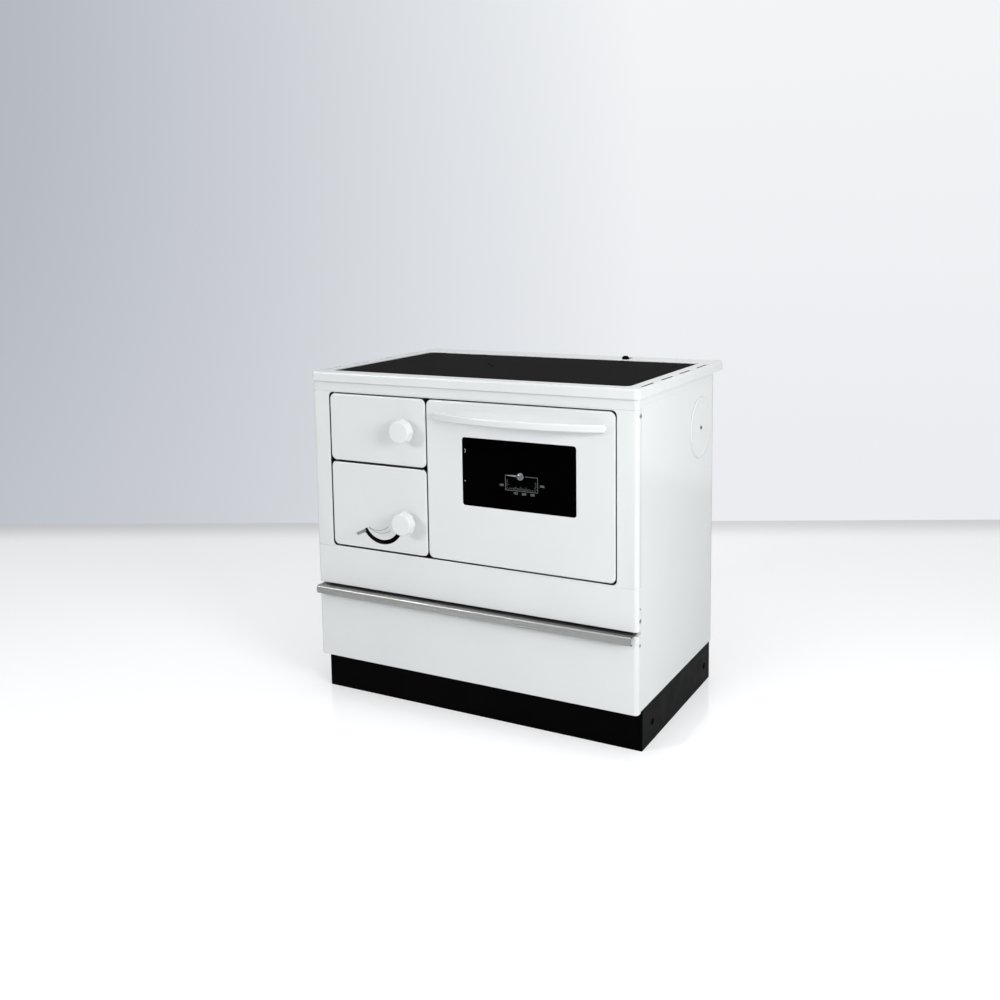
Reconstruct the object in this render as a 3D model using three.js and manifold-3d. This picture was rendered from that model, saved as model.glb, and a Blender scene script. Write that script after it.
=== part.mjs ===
// Wood-burning cookstove, 900 mm wide, in white enamelled sheet steel. A brick-lined firebox
// stands over an ash chamber on the left, an oven with a drop-down glazed door on the right,
// and a full-width wood drawer below. A steel hob plate lies in a frame on top.
//
// Millimetres, +Z up, the front faces -Y. Inside this file y = 0 is the face of the front
// panels; the finished group is shifted so that the origin lies on the floor under the
// middle of the stove's overall box.

import * as THREE from 'three';
import { mergeVertices } from 'three/addons/utils/BufferGeometryUtils.js';
import Module from 'manifold-3d';

// ---------------------------------------------------------------- driving dimensions

const overallWidth = 900; // across the hob frame
const overallHeight = 850;
const hobOverhang = 4; // hob frame past the body at the front and sides
const hobRearOverhang = 81; // leaves room for the flue pipe behind the body
const hobThickness = 24;
const bodyDepth = 530; // front panels to back panel
const sheet = 2; // enamelled sheet steel
const seat = 0.3; // gap between pieces that touch
const cornerRadius = 10; // upright front edges
const returnDepth = 20; // how far the front panels fold back along the sides

const plinthHeight = 102.4;
const plinthSetback = 33;
const plinthInset = 2; // plinth inside the side panels
const plinthSheet = 3;
const drawerDrop = 4; // drawer front below the plinth's top edge
const drawerFrontHeight = 187.3;
const gripGap = 7; // between the drawer rail and the panel above it
const lowerPanelHeight = 100.2;
const stileWidth = 51; // front frame beside the door opening
const openingRadius = 14;
const frameRail = 2.5; // lip around the door opening
const lipDepth = 18;
const lipBevel = 2.5;
const bandHeight = 23.9; // top band's height at the front
const sideSeam = 16; // and along the sides

const doorGap = 3;
const doorEdge = 4; // rounding of the door's front edges
const doorRadius = 12;
const trayDepth = 15;
const fireDoorWidth = 285.2;
const fireDoorHeight = 171.5;
const pivotInset = 11; // hinge axis from the door's edge
const pivotDepth = 9; // hinge axis behind the door's face
const hingePin = 3; // radius
const runningGap = 0.3; // radial clearance of pins and spindles

const plateThickness = 4; // cast front plate behind the doors
const castSheet = 3;

// ---------------------------------------------------------------- derived levels

const bodyHalf = overallWidth / 2 - hobOverhang;
const innerHalf = bodyHalf - sheet - seat; // for what fits between the side panels
const drawerFrontBottom = plinthHeight - drawerDrop;
const drawerFrontTop = drawerFrontBottom + drawerFrontHeight;
const railTop = drawerFrontTop + seat + sheet;
const lowerPanelBottom = railTop + gripGap;
const lowerPanelTop = lowerPanelBottom + lowerPanelHeight;
const frameBottom = lowerPanelTop + seat;
const openingBottom = frameBottom + frameRail;
const hobBottom = overallHeight - hobThickness;
const bandTop = hobBottom - seat;
const bandBottom = bandTop - bandHeight;
const frameTop = bandBottom - seat;
const openingTop = frameTop - frameRail;
const openingHalfWidth = bodyHalf - stileWidth;
const sidePanelBottom = plinthHeight + seat;
const sidePanelTop = bandTop - sideSeam;

const doorBottom = openingBottom + doorGap;
const doorTop = openingTop - doorGap;
const fireDoorBottom = doorTop - fireDoorHeight;
const ashDoorTop = fireDoorBottom - doorGap;
const doorsLeft = -openingHalfWidth + doorGap;
const fireDoorRight = doorsLeft + fireDoorWidth;
const ovenDoorLeft = fireDoorRight + doorGap;
const ovenDoorRight = openingHalfWidth - doorGap;

const flangeFront = returnDepth + seat; // front edge of the side panels
const plateFront = flangeFront + sheet + seat; // front face of the cast plate
const plateBack = plateFront + plateThickness;
const linerFront = trayDepth + seat;
const linerBack = linerFront + sheet;
const gasketFront = linerBack + seat;
const gasketBack = plateFront - seat;
const backPanelFront = bodyDepth - sheet;

// ---------------------------------------------------------------- solids and outlines

const wasm = await Module();
wasm.setup();

// A closed three.js geometry as a solid that can be joined and cut.
function solid(geometry) {
  const bare = geometry.clone();
  bare.deleteAttribute('normal');
  bare.deleteAttribute('uv');
  const merged = mergeVertices(bare, 1e-4);
  return new wasm.Manifold(
    new wasm.Mesh({
      numProp: 3,
      vertProperties: Float32Array.from(merged.attributes.position.array),
      triVerts: Uint32Array.from(merged.index.array),
    }),
  );
}

function surfaceOf(body) {
  const mesh = body.getMesh();
  const geometry = new THREE.BufferGeometry();
  geometry.setAttribute('position', new THREE.BufferAttribute(mesh.vertProperties, 3));
  geometry.setIndex(new THREE.BufferAttribute(mesh.triVerts, 1));
  return geometry;
}

function join(first, ...others) {
  return others.reduce((whole, part) => whole.add(part), first);
}

function cut(first, ...others) {
  return others.reduce((whole, part) => whole.subtract(part), first);
}

function block(x0, x1, y0, y1, z0, z1) {
  const box = new THREE.BoxGeometry(x1 - x0, y1 - y0, z1 - z0);
  box.translate((x0 + x1) / 2, (y0 + y1) / 2, (z0 + z1) / 2);
  return solid(box);
}

function rect(u0, u1, v0, v1, radius = 0) {
  const shape = new THREE.Shape();
  if (radius <= 0) {
    shape.moveTo(u0, v0);
    shape.lineTo(u1, v0);
    shape.lineTo(u1, v1);
    shape.lineTo(u0, v1);
    return shape;
  }
  shape.moveTo(u0 + radius, v0);
  shape.lineTo(u1 - radius, v0);
  shape.absarc(u1 - radius, v0 + radius, radius, -Math.PI / 2, 0);
  shape.lineTo(u1, v1 - radius);
  shape.absarc(u1 - radius, v1 - radius, radius, 0, Math.PI / 2);
  shape.lineTo(u0 + radius, v1);
  shape.absarc(u0 + radius, v1 - radius, radius, Math.PI / 2, Math.PI);
  shape.lineTo(u0, v0 + radius);
  shape.absarc(u0 + radius, v0 + radius, radius, Math.PI, 1.5 * Math.PI);
  return shape;
}

// Plan of a panel that wraps the stove's front: straight face, two round upright edges.
function frontPlan(half, front, back, radius) {
  const shape = new THREE.Shape();
  shape.moveTo(half, back);
  shape.lineTo(-half, back);
  shape.lineTo(-half, front + radius);
  shape.absarc(-half + radius, front + radius, radius, Math.PI, 1.5 * Math.PI);
  shape.lineTo(half - radius, front);
  shape.absarc(half - radius, front + radius, radius, -Math.PI / 2, 0);
  return shape;
}

// Band of an arc, between two radii and two angles.
function arcBand(u, v, inner, outer, from, to) {
  const shape = new THREE.Shape();
  shape.absarc(u, v, outer, from, to);
  shape.absarc(u, v, inner, to, from, true);
  return shape;
}

function extrude(shape, depth, options = {}) {
  return new THREE.ExtrudeGeometry(shape, { depth, bevelEnabled: false, curveSegments: 2, ...options });
}

function alongZ(shape, z0, z1, options) {
  return solid(extrude(shape, z1 - z0, options).translate(0, 0, z0));
}

// The outline's u runs along X and its v along Z.
function alongY(shape, y0, y1, options) {
  return solid(extrude(shape, y1 - y0, options).rotateX(Math.PI / 2).translate(0, y1, 0));
}

// The outline's u runs along Y and its v along Z.
function alongX(shape, x0, x1, options) {
  const turn = new THREE.Matrix4().makeBasis(
    new THREE.Vector3(0, 1, 0),
    new THREE.Vector3(0, 0, 1),
    new THREE.Vector3(1, 0, 0),
  );
  return solid(extrude(shape, x1 - x0, options).applyMatrix4(turn).translate(x0, 0, 0));
}

function rodX(y, z, radius, x0, x1, sides = 16) {
  const rod = new THREE.CylinderGeometry(radius, radius, x1 - x0, sides);
  return solid(rod.rotateZ(Math.PI / 2).translate((x0 + x1) / 2, y, z));
}

function rodY(x, z, radius, y0, y1, sides = 16) {
  const rod = new THREE.CylinderGeometry(radius, radius, y1 - y0, sides);
  return solid(rod.translate(x, (y0 + y1) / 2, z));
}

function rodZ(x, y, radius, z0, z1, sides = 16) {
  const rod = new THREE.CylinderGeometry(radius, radius, z1 - z0, sides);
  return solid(rod.rotateX(Math.PI / 2).translate(x, y, (z0 + z1) / 2));
}

// Revolved about the Y axis through (x, z). The profile holds [radius, y] pairs, from the
// foremost inner point outwards and back.
function turnedY(x, z, profile, sides) {
  const points = profile.map(([radius, y]) => new THREE.Vector2(radius, y));
  return solid(new THREE.LatheGeometry(points, sides).translate(x, 0, z));
}

// A plate standing in the XZ plane, from y0 to y1, with all its front and rear edges rounded.
function cushion(x0, x1, z0, z1, radius, edge, y0, y1) {
  const outline = rect(x0 + edge, x1 - edge, z0 + edge, z1 - edge, radius - edge);
  const bevel = { bevelEnabled: true, bevelThickness: edge, bevelSize: edge, bevelSegments: 2 };
  return solid(
    extrude(outline, y1 - y0 - 2 * edge, bevel)
      .rotateX(Math.PI / 2)
      .translate(0, y1 - edge, 0),
  );
}

// ---------------------------------------------------------------- materials

function finish(color, roughness, metalness = 0) {
  return new THREE.MeshStandardMaterial({ color, roughness, metalness });
}

const whiteEnamel = () => finish(0xe9ebea, 0.22);
const blackEnamel = () => finish(0x0b0b0b, 0.35);
const blackSteel = () => finish(0x242424, 0.55, 0.4);
const castIron = () => finish(0x2b2b2c, 0.75, 0.5);
const whitePlastic = () => finish(0xeceeed, 0.18);
const stainless = () => finish(0xb9bab8, 0.28, 1);
const zincSteel = () => finish(0x9fa2a3, 0.4, 0.9);
const firebrick = () => finish(0xcdb189, 0.95);
const ropeSeal = () => finish(0x3a3a38, 0.98);
const darkGlass = () => finish(0x050505, 0.05);
const greyEnamel = () => finish(0x3d4043, 0.3);

// ---------------------------------------------------------------- scene graph

const stove = new THREE.Group();
const cabinet = new THREE.Group();
stove.add(cabinet);

// Adds one piece, drawn in the stove's own coordinates, to the group that carries it.
function add(group, name, body, material) {
  const geometry = surfaceOf(body);
  const carrier = new THREE.Vector3();
  for (let at = group; at !== stove; at = at.parent) {
    carrier.add(at.position);
  }
  geometry.translate(-carrier.x, -carrier.y, -carrier.z);
  geometry.computeVertexNormals();
  const mesh = new THREE.Mesh(geometry, material);
  mesh.name = name;
  group.add(mesh);
}

// A group whose own origin lies on the axis that its pieces turn about.
function pivotGroup(parent, x, y, z) {
  const group = new THREE.Group();
  group.position.set(x, y, z);
  for (let at = parent; at !== stove; at = at.parent) {
    group.position.sub(at.position);
  }
  parent.add(group);
  return group;
}

// ---------------------------------------------------------------- plinth, feet and carcass

const plinthHalf = bodyHalf - plinthInset;
const plinthFlange = 22;
const boltRise = 46; // levelling bolt slots in the plinth's ends

function makePlinth() {
  const shrunk = (by, z0, z1) =>
    block(-plinthHalf + by, plinthHalf - by, plinthSetback + by, bodyDepth - by, z0, z1);
  const outer = alongZ(rect(-plinthHalf, plinthHalf, plinthSetback, bodyDepth, 4), 0, plinthHeight);
  const inside = shrunk(plinthSheet, -1, plinthHeight - plinthSheet);
  const mouth = shrunk(plinthFlange, 0, plinthHeight + 1);
  const boltSlots = [plinthSetback + 68, bodyDepth - 46].map((y) =>
    alongX(rect(y - 4.5, y + 4.5, boltRise - 7, boltRise + 7, 4.4), -overallWidth, overallWidth),
  );
  return cut(outer, inside, mouth, ...boltSlots);
}

const footInset = 60;

function makeFoot(x, y) {
  const pad = rodZ(x, y, 20, 0, 7, 24);
  const nut = rodZ(x, y, 9, 7, 15, 6);
  const stud = rodZ(x, y, 5, 15, plinthHeight, 12);
  return join(pad, nut, stud);
}

const basePlate = 1.5;
const baseFlange = 20;
const innerRear = backPanelFront - seat; // for what stands against the back panel
const flangeRear = innerRear - sheet - seat; // and against the side panels' rear flanges

function makeBase() {
  const front = plateBack + seat;
  const z0 = plinthHeight + seat;
  const insideHalf = innerHalf - basePlate;
  const pan = block(-innerHalf, innerHalf, front, flangeRear, z0, z0 + baseFlange);
  const hollow = block(-insideHalf, insideHalf, 0, bodyDepth, z0 + basePlate, z0 + baseFlange + 1);
  return cut(pan, hollow);
}

const sideFlange = 16;
const flueY = bodyDepth - 102;
const flueZ = overallHeight - 153;
const flueRadius = 60;

function makeSidePanel(side) {
  const plan = rect(bodyHalf - sideFlange - sheet, bodyHalf, flangeFront, innerRear);
  const shell = alongZ(plan, sidePanelBottom, sidePanelTop);
  const hollow = block(0, bodyHalf - sheet, flangeFront + sheet, innerRear - sheet, 0, overallHeight);
  const panel = cut(shell, hollow);
  if (side < 0) {
    return panel.mirror([1, 0, 0]);
  }
  return panel.subtract(rodX(flueY, flueZ, flueRadius, 0, overallWidth, 32));
}

const rearFlueX = bodyHalf - 146;
const damperX = bodyHalf - 248;
const damperZ = overallHeight - 65;
const damperRod = 4; // radius
const valveRadius = 34;
const bandFlange = 22;

function makeBackPanel() {
  const panel = block(-bodyHalf, bodyHalf, backPanelFront, bodyDepth, sidePanelBottom, bandTop);
  const outlet = rodY(rearFlueX, flueZ, flueRadius, 0, overallWidth, 32);
  const rodHole = rodY(damperX, damperZ, damperRod + 1, 0, overallWidth, 16);
  return cut(panel, outlet, rodHole);
}

const deckTop = lowerPanelTop - 3;
const deckSheet = 2;
const deckFlange = 30;

function makeDeck() {
  const top = block(-innerHalf, innerHalf, plateFront, flangeRear, deckTop - deckFlange, deckTop);
  const insideHalf = innerHalf - deckSheet;
  return cut(top, block(-insideHalf, insideHalf, 0, bodyDepth, 0, deckTop - deckSheet));
}

// Sheet panel that wraps the front, with folded top and bottom edges.
function wrapPanel(z0, z1) {
  const outer = alongZ(frontPlan(bodyHalf, 0, returnDepth, cornerRadius), z0, z1);
  const hollow = frontPlan(bodyHalf - sheet, sheet, returnDepth + 1, cornerRadius - sheet);
  return cut(outer, alongZ(hollow, z0 + sheet, z1 - sheet));
}

function makeTopBand() {
  const outer = alongZ(frontPlan(bodyHalf, 0, innerRear, cornerRadius), bandBottom, bandTop);
  const hollow = frontPlan(bodyHalf - sheet, sheet, bodyDepth, cornerRadius - sheet);
  const mouthHalf = bodyHalf - bandFlange;
  const mouth = block(-mouthHalf, mouthHalf, bandFlange, bodyDepth, 0, overallHeight);
  const overSides = block(-overallWidth, overallWidth, returnDepth, bodyDepth, 0, sidePanelTop + seat);
  return cut(outer, alongZ(hollow, 0, bandTop - sheet), mouth, overSides);
}

function makeFrontFrame() {
  const shell = alongZ(frontPlan(bodyHalf, 0, returnDepth, cornerRadius), frameBottom, frameTop);
  const hollow = frontPlan(bodyHalf - sheet, sheet, bodyDepth, cornerRadius - sheet);
  const inner = alongZ(hollow, 0, overallHeight);
  const half = openingHalfWidth;
  const lipHalf = half + frameRail;
  const lip = alongY(
    rect(-lipHalf, lipHalf, frameBottom, frameTop, openingRadius + frameRail),
    0,
    lipDepth,
  );
  const opening = rect(-half, half, openingBottom, openingTop, openingRadius);
  const through = alongY(opening, -1, bodyDepth);
  // wider than the opening at the face, so the opening's edge slopes
  const slope = {
    bevelEnabled: true,
    bevelThickness: lipBevel,
    bevelSize: frameRail - 1,
    bevelSegments: 1,
  };
  const bevel = solid(extrude(opening, 1, slope).rotateX(Math.PI / 2));
  return cut(join(cut(shell, inner), lip), through, bevel, pinHole);
}

// ---------------------------------------------------------------- cast front plate

const chamberLeft = doorsLeft + 30; // the fire and ash mouths, inside their doors' edges
const chamberRight = fireDoorRight - 29.2;
const fireMouthBottom = fireDoorBottom + 25.5;
const fireMouthTop = doorTop - 24;
const ashMouthBottom = doorBottom + 24;
const ashMouthTop = ashDoorTop - 23.5;
const ovenLeft = ovenDoorLeft + 43.8; // the oven's mouth, inside its door's edges
const ovenRight = ovenDoorRight - 42;
const ovenBottom = doorBottom + 35;
const ovenTop = doorTop - 60;
const mouthRadius = 8;
const ovenPin = 3.5; // radius
const lugRadius = 6.3;
const lugHalf = 3.5;
const lugInset = 22;
const lugPlaces = [ovenDoorLeft + lugInset, ovenDoorRight - lugInset];
const ovenPivotZ = doorBottom + pivotInset;

function makeFrontPlate() {
  const plateTop = bandTop - sheet - seat;
  const plate = block(-innerHalf, innerHalf, plateFront, plateBack, deckTop + seat, plateTop);
  const mouths = [
    rect(chamberLeft, chamberRight, fireMouthBottom, fireMouthTop, mouthRadius),
    rect(chamberLeft, chamberRight, ashMouthBottom, ashMouthTop, mouthRadius),
    rect(ovenLeft, ovenRight, ovenBottom, ovenTop, mouthRadius),
  ].map((shape) => alongY(shape, 0, bodyDepth));
  const lugs = lugPlaces.map((x) => {
    const side = rect(pivotDepth, plateFront + 1, ovenPivotZ - lugRadius, ovenPivotZ + lugRadius);
    const arm = alongX(side, x - lugHalf, x + lugHalf);
    return join(arm, rodX(pivotDepth, ovenPivotZ, lugRadius, x - lugHalf, x + lugHalf, 20));
  });
  const bore = rodX(pivotDepth, ovenPivotZ, ovenPin + runningGap, -overallWidth, overallWidth, 12);
  return cut(join(plate, ...lugs), bore, ...mouths);
}

// ---------------------------------------------------------------- hob

const hobFront = -hobOverhang;
const hobRear = bodyDepth + hobRearOverhang;
const plateHalfWidth = overallWidth / 2 - 42;
const hobPlateFront = hobFront + 40;
const hobPlateRear = hobRear - 89;
const hobPlateThickness = 6;
const hobPlateRecess = 2.5; // plate's top below the frame's
const hobPlateGap = 3;
const ledgeWidth = 12;
const hobSkin = 3;
const hobSkirt = 8;
const hobRadius = 14;
const hobEdge = 5;
const slotLength = 84;
const slotWidth = 5;
const slotCount = 4;
const slotInset = 12.5;
const slotsFront = hobPlateFront + 1;
const slotsRear = hobPlateRear - 20;
const slotPitch = (slotsRear - slotsFront - slotLength) / (slotCount - 1);
const ledgeTop = overallHeight - hobPlateRecess - hobPlateThickness - seat;
const damperRest = bodyDepth + 10; // knob's place in its slot, front to back
const damperTravel = 45;

function makeHobFrame() {
  const half = overallWidth / 2;
  const flatHalf = half - hobEdge;
  const cornerRound = hobRadius - hobEdge;
  const outline = rect(-flatHalf, flatHalf, hobFront + hobEdge, hobRear - hobEdge, cornerRound);
  const bevel = { bevelEnabled: true, bevelThickness: hobEdge, bevelSize: hobEdge, bevelSegments: 2 };
  const outer = solid(extrude(outline, hobThickness, bevel).translate(0, 0, hobBottom - hobEdge)).subtract(
    block(-overallWidth, overallWidth, -overallWidth, overallWidth, 0, hobBottom),
  );
  const plateHole = (grow, radius) =>
    rect(-plateHalfWidth - grow, plateHalfWidth + grow, hobPlateFront - grow, hobPlateRear + grow, radius);
  const recess = alongZ(plateHole(hobPlateGap, 14), ledgeTop, overallHeight + 1);
  const through = alongZ(plateHole(hobPlateGap - ledgeWidth, 6), 0, overallHeight);
  const keep = alongZ(plateHole(hobPlateGap + hobSkin, 16), ledgeTop - hobSkin, overallHeight);
  const pocket = cut(
    block(
      -half + hobSkirt,
      half - hobSkirt,
      hobFront + hobSkirt,
      hobRear - hobSkirt,
      0,
      overallHeight - hobSkin,
    ),
    keep,
  );
  const slotX = half - slotInset;
  const slots = [];
  for (const side of [-1, 1]) {
    for (let i = 0; i < slotCount; i += 1) {
      const y = slotsFront + slotLength / 2 + i * slotPitch;
      const x0 = side * slotX - slotWidth / 2;
      const end = slotLength / 2;
      slots.push(alongZ(rect(x0, x0 + slotWidth, y - end, y + end, 2.4), 0, overallHeight + 1));
    }
  }
  const damperSlot = alongZ(
    rect(damperX - 5.5, damperX + 5.5, damperRest - 6, damperRest + damperTravel + 6, 5.4),
    0,
    overallHeight + 1,
  );
  return cut(outer, recess, through, pocket, damperSlot, ...slots);
}

function makeHobPlate() {
  const top = overallHeight - hobPlateRecess;
  const outline = rect(-plateHalfWidth, plateHalfWidth, hobPlateFront, hobPlateRear, 12);
  return alongZ(outline, top - hobPlateThickness, top);
}

// ---------------------------------------------------------------- flue fittings

function makeFlueCover() {
  const radius = 78;
  const x0 = bodyHalf + seat;
  const profile = [
    [0, x0 + 0.6],
    [radius - 12, x0 + 0.6],
    [radius - 10, x0],
    [radius, x0],
    [radius, x0 + 0.8],
    [radius - 2.5, x0 + 2.6],
    [radius - 9, x0 + 2.6],
    [radius - 12, x0 + 2],
    [0, x0 + 2],
  ];
  const points = profile.map(([r, x]) => new THREE.Vector2(r, x));
  const turned = new THREE.LatheGeometry(points, 24).rotateZ(-Math.PI / 2);
  return solid(turned.translate(0, flueY, flueZ)).subtract(rodX(flueY, flueZ, 3, 0, overallWidth, 12));
}

function makeFlueScrew() {
  const x0 = bodyHalf + seat;
  const head = rodX(flueY, flueZ, 5, x0 + 2 + seat, x0 + 3.5, 16);
  const shank = rodX(flueY, flueZ, 2.6, x0 - 16, x0 + 3, 12);
  return join(head, shank);
}

function makeFlueCollar() {
  const y0 = bodyDepth + seat;
  const length = 52;
  const bore = flueRadius - 3;
  const profile = [
    [bore, y0],
    [flueRadius + 26, y0],
    [flueRadius + 26, y0 + 2],
    [flueRadius + 3, y0 + 2],
    [flueRadius, y0 + 5],
    [flueRadius, y0 + length],
    [bore, y0 + length],
    [bore, y0],
  ];
  return turnedY(rearFlueX, flueZ, profile, 20);
}

const ovenRear = bodyDepth - 80;
const baffleY = ovenRear + 2.3;

function makeBaffle() {
  const left = casingRight + seat;
  const top = ledgeTop - hobSkin - seat;
  const plate = block(left, innerHalf, baffleY, baffleY + 2, ovenTop + castSheet + seat, top);
  const valveHole = rodY(damperX, damperZ, valveRadius - 8, 0, bodyDepth, 24);
  const flangeLeft = bodyHalf - bandFlange - 2;
  const underBand = block(flangeLeft, overallWidth, 0, bodyDepth, bandTop - sheet - 1, overallHeight);
  return cut(plate, valveHole, underBand);
}

// ---------------------------------------------------------------- firebox and ash chamber

const brick = 32;
const casingLeft = chamberLeft - 14 - brick - castSheet - seat;
const casingRight = chamberRight + 12 + brick + castSheet + seat;
const casingRear = bodyDepth - 60;
const casingTop = bandBottom - 1.8;
const ashFloor = ashMouthBottom - 5;
const grateTop = fireMouthBottom - 32;
const grateThickness = 17.7;
const bearerTop = grateTop - grateThickness - seat;
const bearerWidth = brick + 16;
const fireFront = plateBack + seat;

function makeCasing() {
  const wall = castSheet;
  const outer = block(casingLeft, casingRight, fireFront, casingRear, deckTop + seat, casingTop);
  const hollow = (z0, z1) => block(casingLeft + wall, casingRight - wall, 0, casingRear - wall, z0, z1);
  const upper = hollow(ashFloor + wall, overallHeight);
  const lower = hollow(0, ashFloor);
  const bearer = (x0, x1, y0) => block(x0, x1, y0, casingRear - 1, bearerTop - 6, bearerTop);
  return join(
    cut(outer, upper, lower),
    bearer(casingLeft + 1, casingLeft + wall + bearerWidth, fireFront),
    bearer(casingRight - wall - bearerWidth, casingRight - 1, fireFront),
    bearer(casingLeft + 1, casingRight - 1, casingRear - castSheet - bearerWidth),
  );
}

const brickTop = casingTop - 1;
const leftBrickFace = casingLeft + castSheet + seat + brick;
const rightBrickFace = casingRight - castSheet - seat - brick;
const rearBrickFront = casingRear - castSheet - seat - brick;

function makeSideBrick(x0) {
  const plan = rect(x0, x0 + brick, fireFront + seat, casingRear - castSheet - seat, 2);
  return alongZ(plan, bearerTop + seat, brickTop);
}

function makeRearBrick() {
  return alongZ(
    rect(leftBrickFace + seat, rightBrickFace - seat, rearBrickFront, rearBrickFront + brick, 2),
    bearerTop + seat,
    brickTop,
  );
}

// Cast grate: a rim with bars running front to back, thinner below than above.
function makeGrate() {
  const x0 = leftBrickFace + seat;
  const x1 = rightBrickFace - seat;
  const y0 = fireFront + seat;
  const y1 = rearBrickFront - seat;
  const rim = 14;
  const slotWide = 9;
  const barWide = 9.5;
  const tray = block(x0, x1, y0, y1, bearerTop + seat, grateTop);
  const count = Math.floor((x1 - x0 - 2 * rim + barWide) / (slotWide + barWide));
  const used = count * (slotWide + barWide) - barWide;
  const start = (x0 + x1 - used) / 2;
  const middle = (y0 + y1) / 2;
  const slots = [];
  for (let i = 0; i < count; i += 1) {
    const x = start + i * (slotWide + barWide);
    slots.push(block(x, x + slotWide, y0 + rim, middle - 6, 0, overallHeight));
    slots.push(block(x, x + slotWide, middle + 6, y1 - rim, 0, overallHeight));
  }
  const hollow = block(x0 + rim + 20, x1 - rim - 20, y0 + rim, y1 - rim, 0, bearerTop + 7);
  return cut(tray, hollow, ...slots);
}

function makeAshPan() {
  const wall = 1.5;
  const x0 = chamberLeft + 14;
  const x1 = chamberRight - 14;
  const y0 = fireFront + 24;
  const y1 = casingRear - 34;
  const z0 = ashFloor + castSheet + seat;
  const height = 66;
  const pan = block(x0, x1, y0, y1, z0, z0 + height);
  const inside = block(x0 + wall, x1 - wall, y0 + wall, y1 - wall, z0 + wall, z0 + height + 1);
  const gripHalf = 42;
  const middle = (x0 + x1) / 2;
  const gripZ = z0 + 38;
  const grip = cut(
    alongZ(rect(middle - gripHalf, middle + gripHalf, y0 - 16, y0 + 0.5, 4), gripZ, gripZ + 12),
    alongZ(rect(middle - gripHalf + 2, middle + gripHalf - 2, y0 - 14, y0, 2), 0, overallHeight),
  );
  return join(cut(pan, inside), grip);
}

// ---------------------------------------------------------------- oven

const runnerRod = 2.5; // radius
const rackLevel = ovenBottom + 130;
const trayLevel = ovenBottom + 50;
const spareLevel = rackLevel + 70;

function makeOvenBox() {
  const wall = castSheet;
  const outline = (grow, radius) =>
    rect(ovenLeft - grow, ovenRight + grow, ovenBottom - grow, ovenTop + grow, radius);
  return cut(
    alongY(outline(wall, 0), fireFront, ovenRear),
    alongY(outline(0, mouthRadius), 0, ovenRear - wall),
  );
}

// Two folded channels and a cross tie that carry the oven over the deck.
function makeOvenSupport() {
  const z0 = deckTop + seat;
  const z1 = ovenBottom - castSheet - seat;
  const y0 = fireFront + 33;
  const y1 = ovenRear - 20;
  const middle = (y0 + y1) / 2;
  const channel = (x) =>
    cut(block(x, x + 30, y0, y1, z0, z1), block(x + 2, x + 31, 0, bodyDepth, z0 + 2, z1 - 2));
  const tie = block(ovenLeft + 31, ovenRight - 31, middle - 10, middle + 10, z0, z0 + 2);
  return join(channel(ovenLeft + 30), channel(ovenRight - 60), tie);
}

// Ladder of bent rods on the oven's side wall: the rails hold a rack or a tray.
function makeRunner(side) {
  const wallX = side < 0 ? ovenLeft : ovenRight;
  const inward = -side;
  const postX = wallX + inward * (runnerRod + seat);
  const railX = wallX + inward * 14;
  const front = fireFront + 33;
  const rear = ovenRear - 30;
  const pieces = [];
  for (const y of [front + 40, rear - 40]) {
    pieces.push(rodZ(postX, y, runnerRod, ovenBottom + mouthRadius, ovenTop - 60, 6));
  }
  for (const level of [trayLevel, rackLevel, spareLevel]) {
    const z = level - runnerRod - seat;
    pieces.push(rodY(railX, z, runnerRod, front, rear, 6));
    for (const y of [front + 40, rear - 40]) {
      pieces.push(rodX(y, z, runnerRod * 0.8, Math.min(postX, railX), Math.max(postX, railX), 6));
    }
  }
  return join(...pieces);
}

function makeRack() {
  const rod = 3;
  const x0 = ovenLeft + 8;
  const x1 = ovenRight - 8;
  const y0 = fireFront + 23;
  const y1 = ovenRear - 25;
  const z = rackLevel + rod;
  const pieces = [
    rodX(y0, z, rod, x0, x1, 6),
    rodX(y1, z, rod, x0, x1, 6),
    rodY(x0 + rod, z, rod, y0, y1, 6),
    rodY(x1 - rod, z, rod, y0, y1, 6),
    rodX((y0 + y1) / 2, z, rod * 0.8, x0, x1, 6),
  ];
  const wires = 9;
  for (let i = 1; i < wires; i += 1) {
    pieces.push(rodY(x0 + ((x1 - x0) * i) / wires, z + rod, 1.8, y0, y1, 6));
  }
  return join(...pieces);
}

function makeBakingTray() {
  const z = trayLevel;
  const outline = (inset, radius) => {
    const side = 6 + inset;
    return rect(ovenLeft + side, ovenRight - side, fireFront + 27 + inset, ovenRear - 26 - inset, radius);
  };
  const lip = alongZ(outline(0, 10), z, z + 2);
  const bowl = alongZ(outline(14, 8), z - 22, z + 1);
  const inside = alongZ(outline(15.5, 6), z - 20.5, z + 3);
  return cut(join(lip, bowl), inside);
}

// ---------------------------------------------------------------- swinging doors

// Pressed tray with rounded front edges, open at the back.
function doorTray(x0, x1, z0, z1) {
  const pressed = cushion(x0, x1, z0, z1, doorRadius, doorEdge, 0, trayDepth + doorEdge + 1);
  const outer = pressed.subtract(block(x0 - 1, x1 + 1, trayDepth, bodyDepth, z0 - 1, z1 + 1));
  const hollow = alongY(
    rect(x0 + sheet, x1 - sheet, z0 + sheet, z1 - sheet, doorRadius - sheet),
    sheet,
    trayDepth + 1,
  );
  return cut(outer, hollow);
}

const linerInset = 1;
const gasketGap = 6; // from the mouth's edge to the rope
const gasketWidth = 10;

function doorLiner(x0, x1, z0, z1) {
  const inset = linerInset;
  const outline = rect(x0 + inset, x1 - inset, z0 + inset, z1 - inset, doorRadius - inset);
  return alongY(outline, linerFront, linerBack);
}

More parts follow.
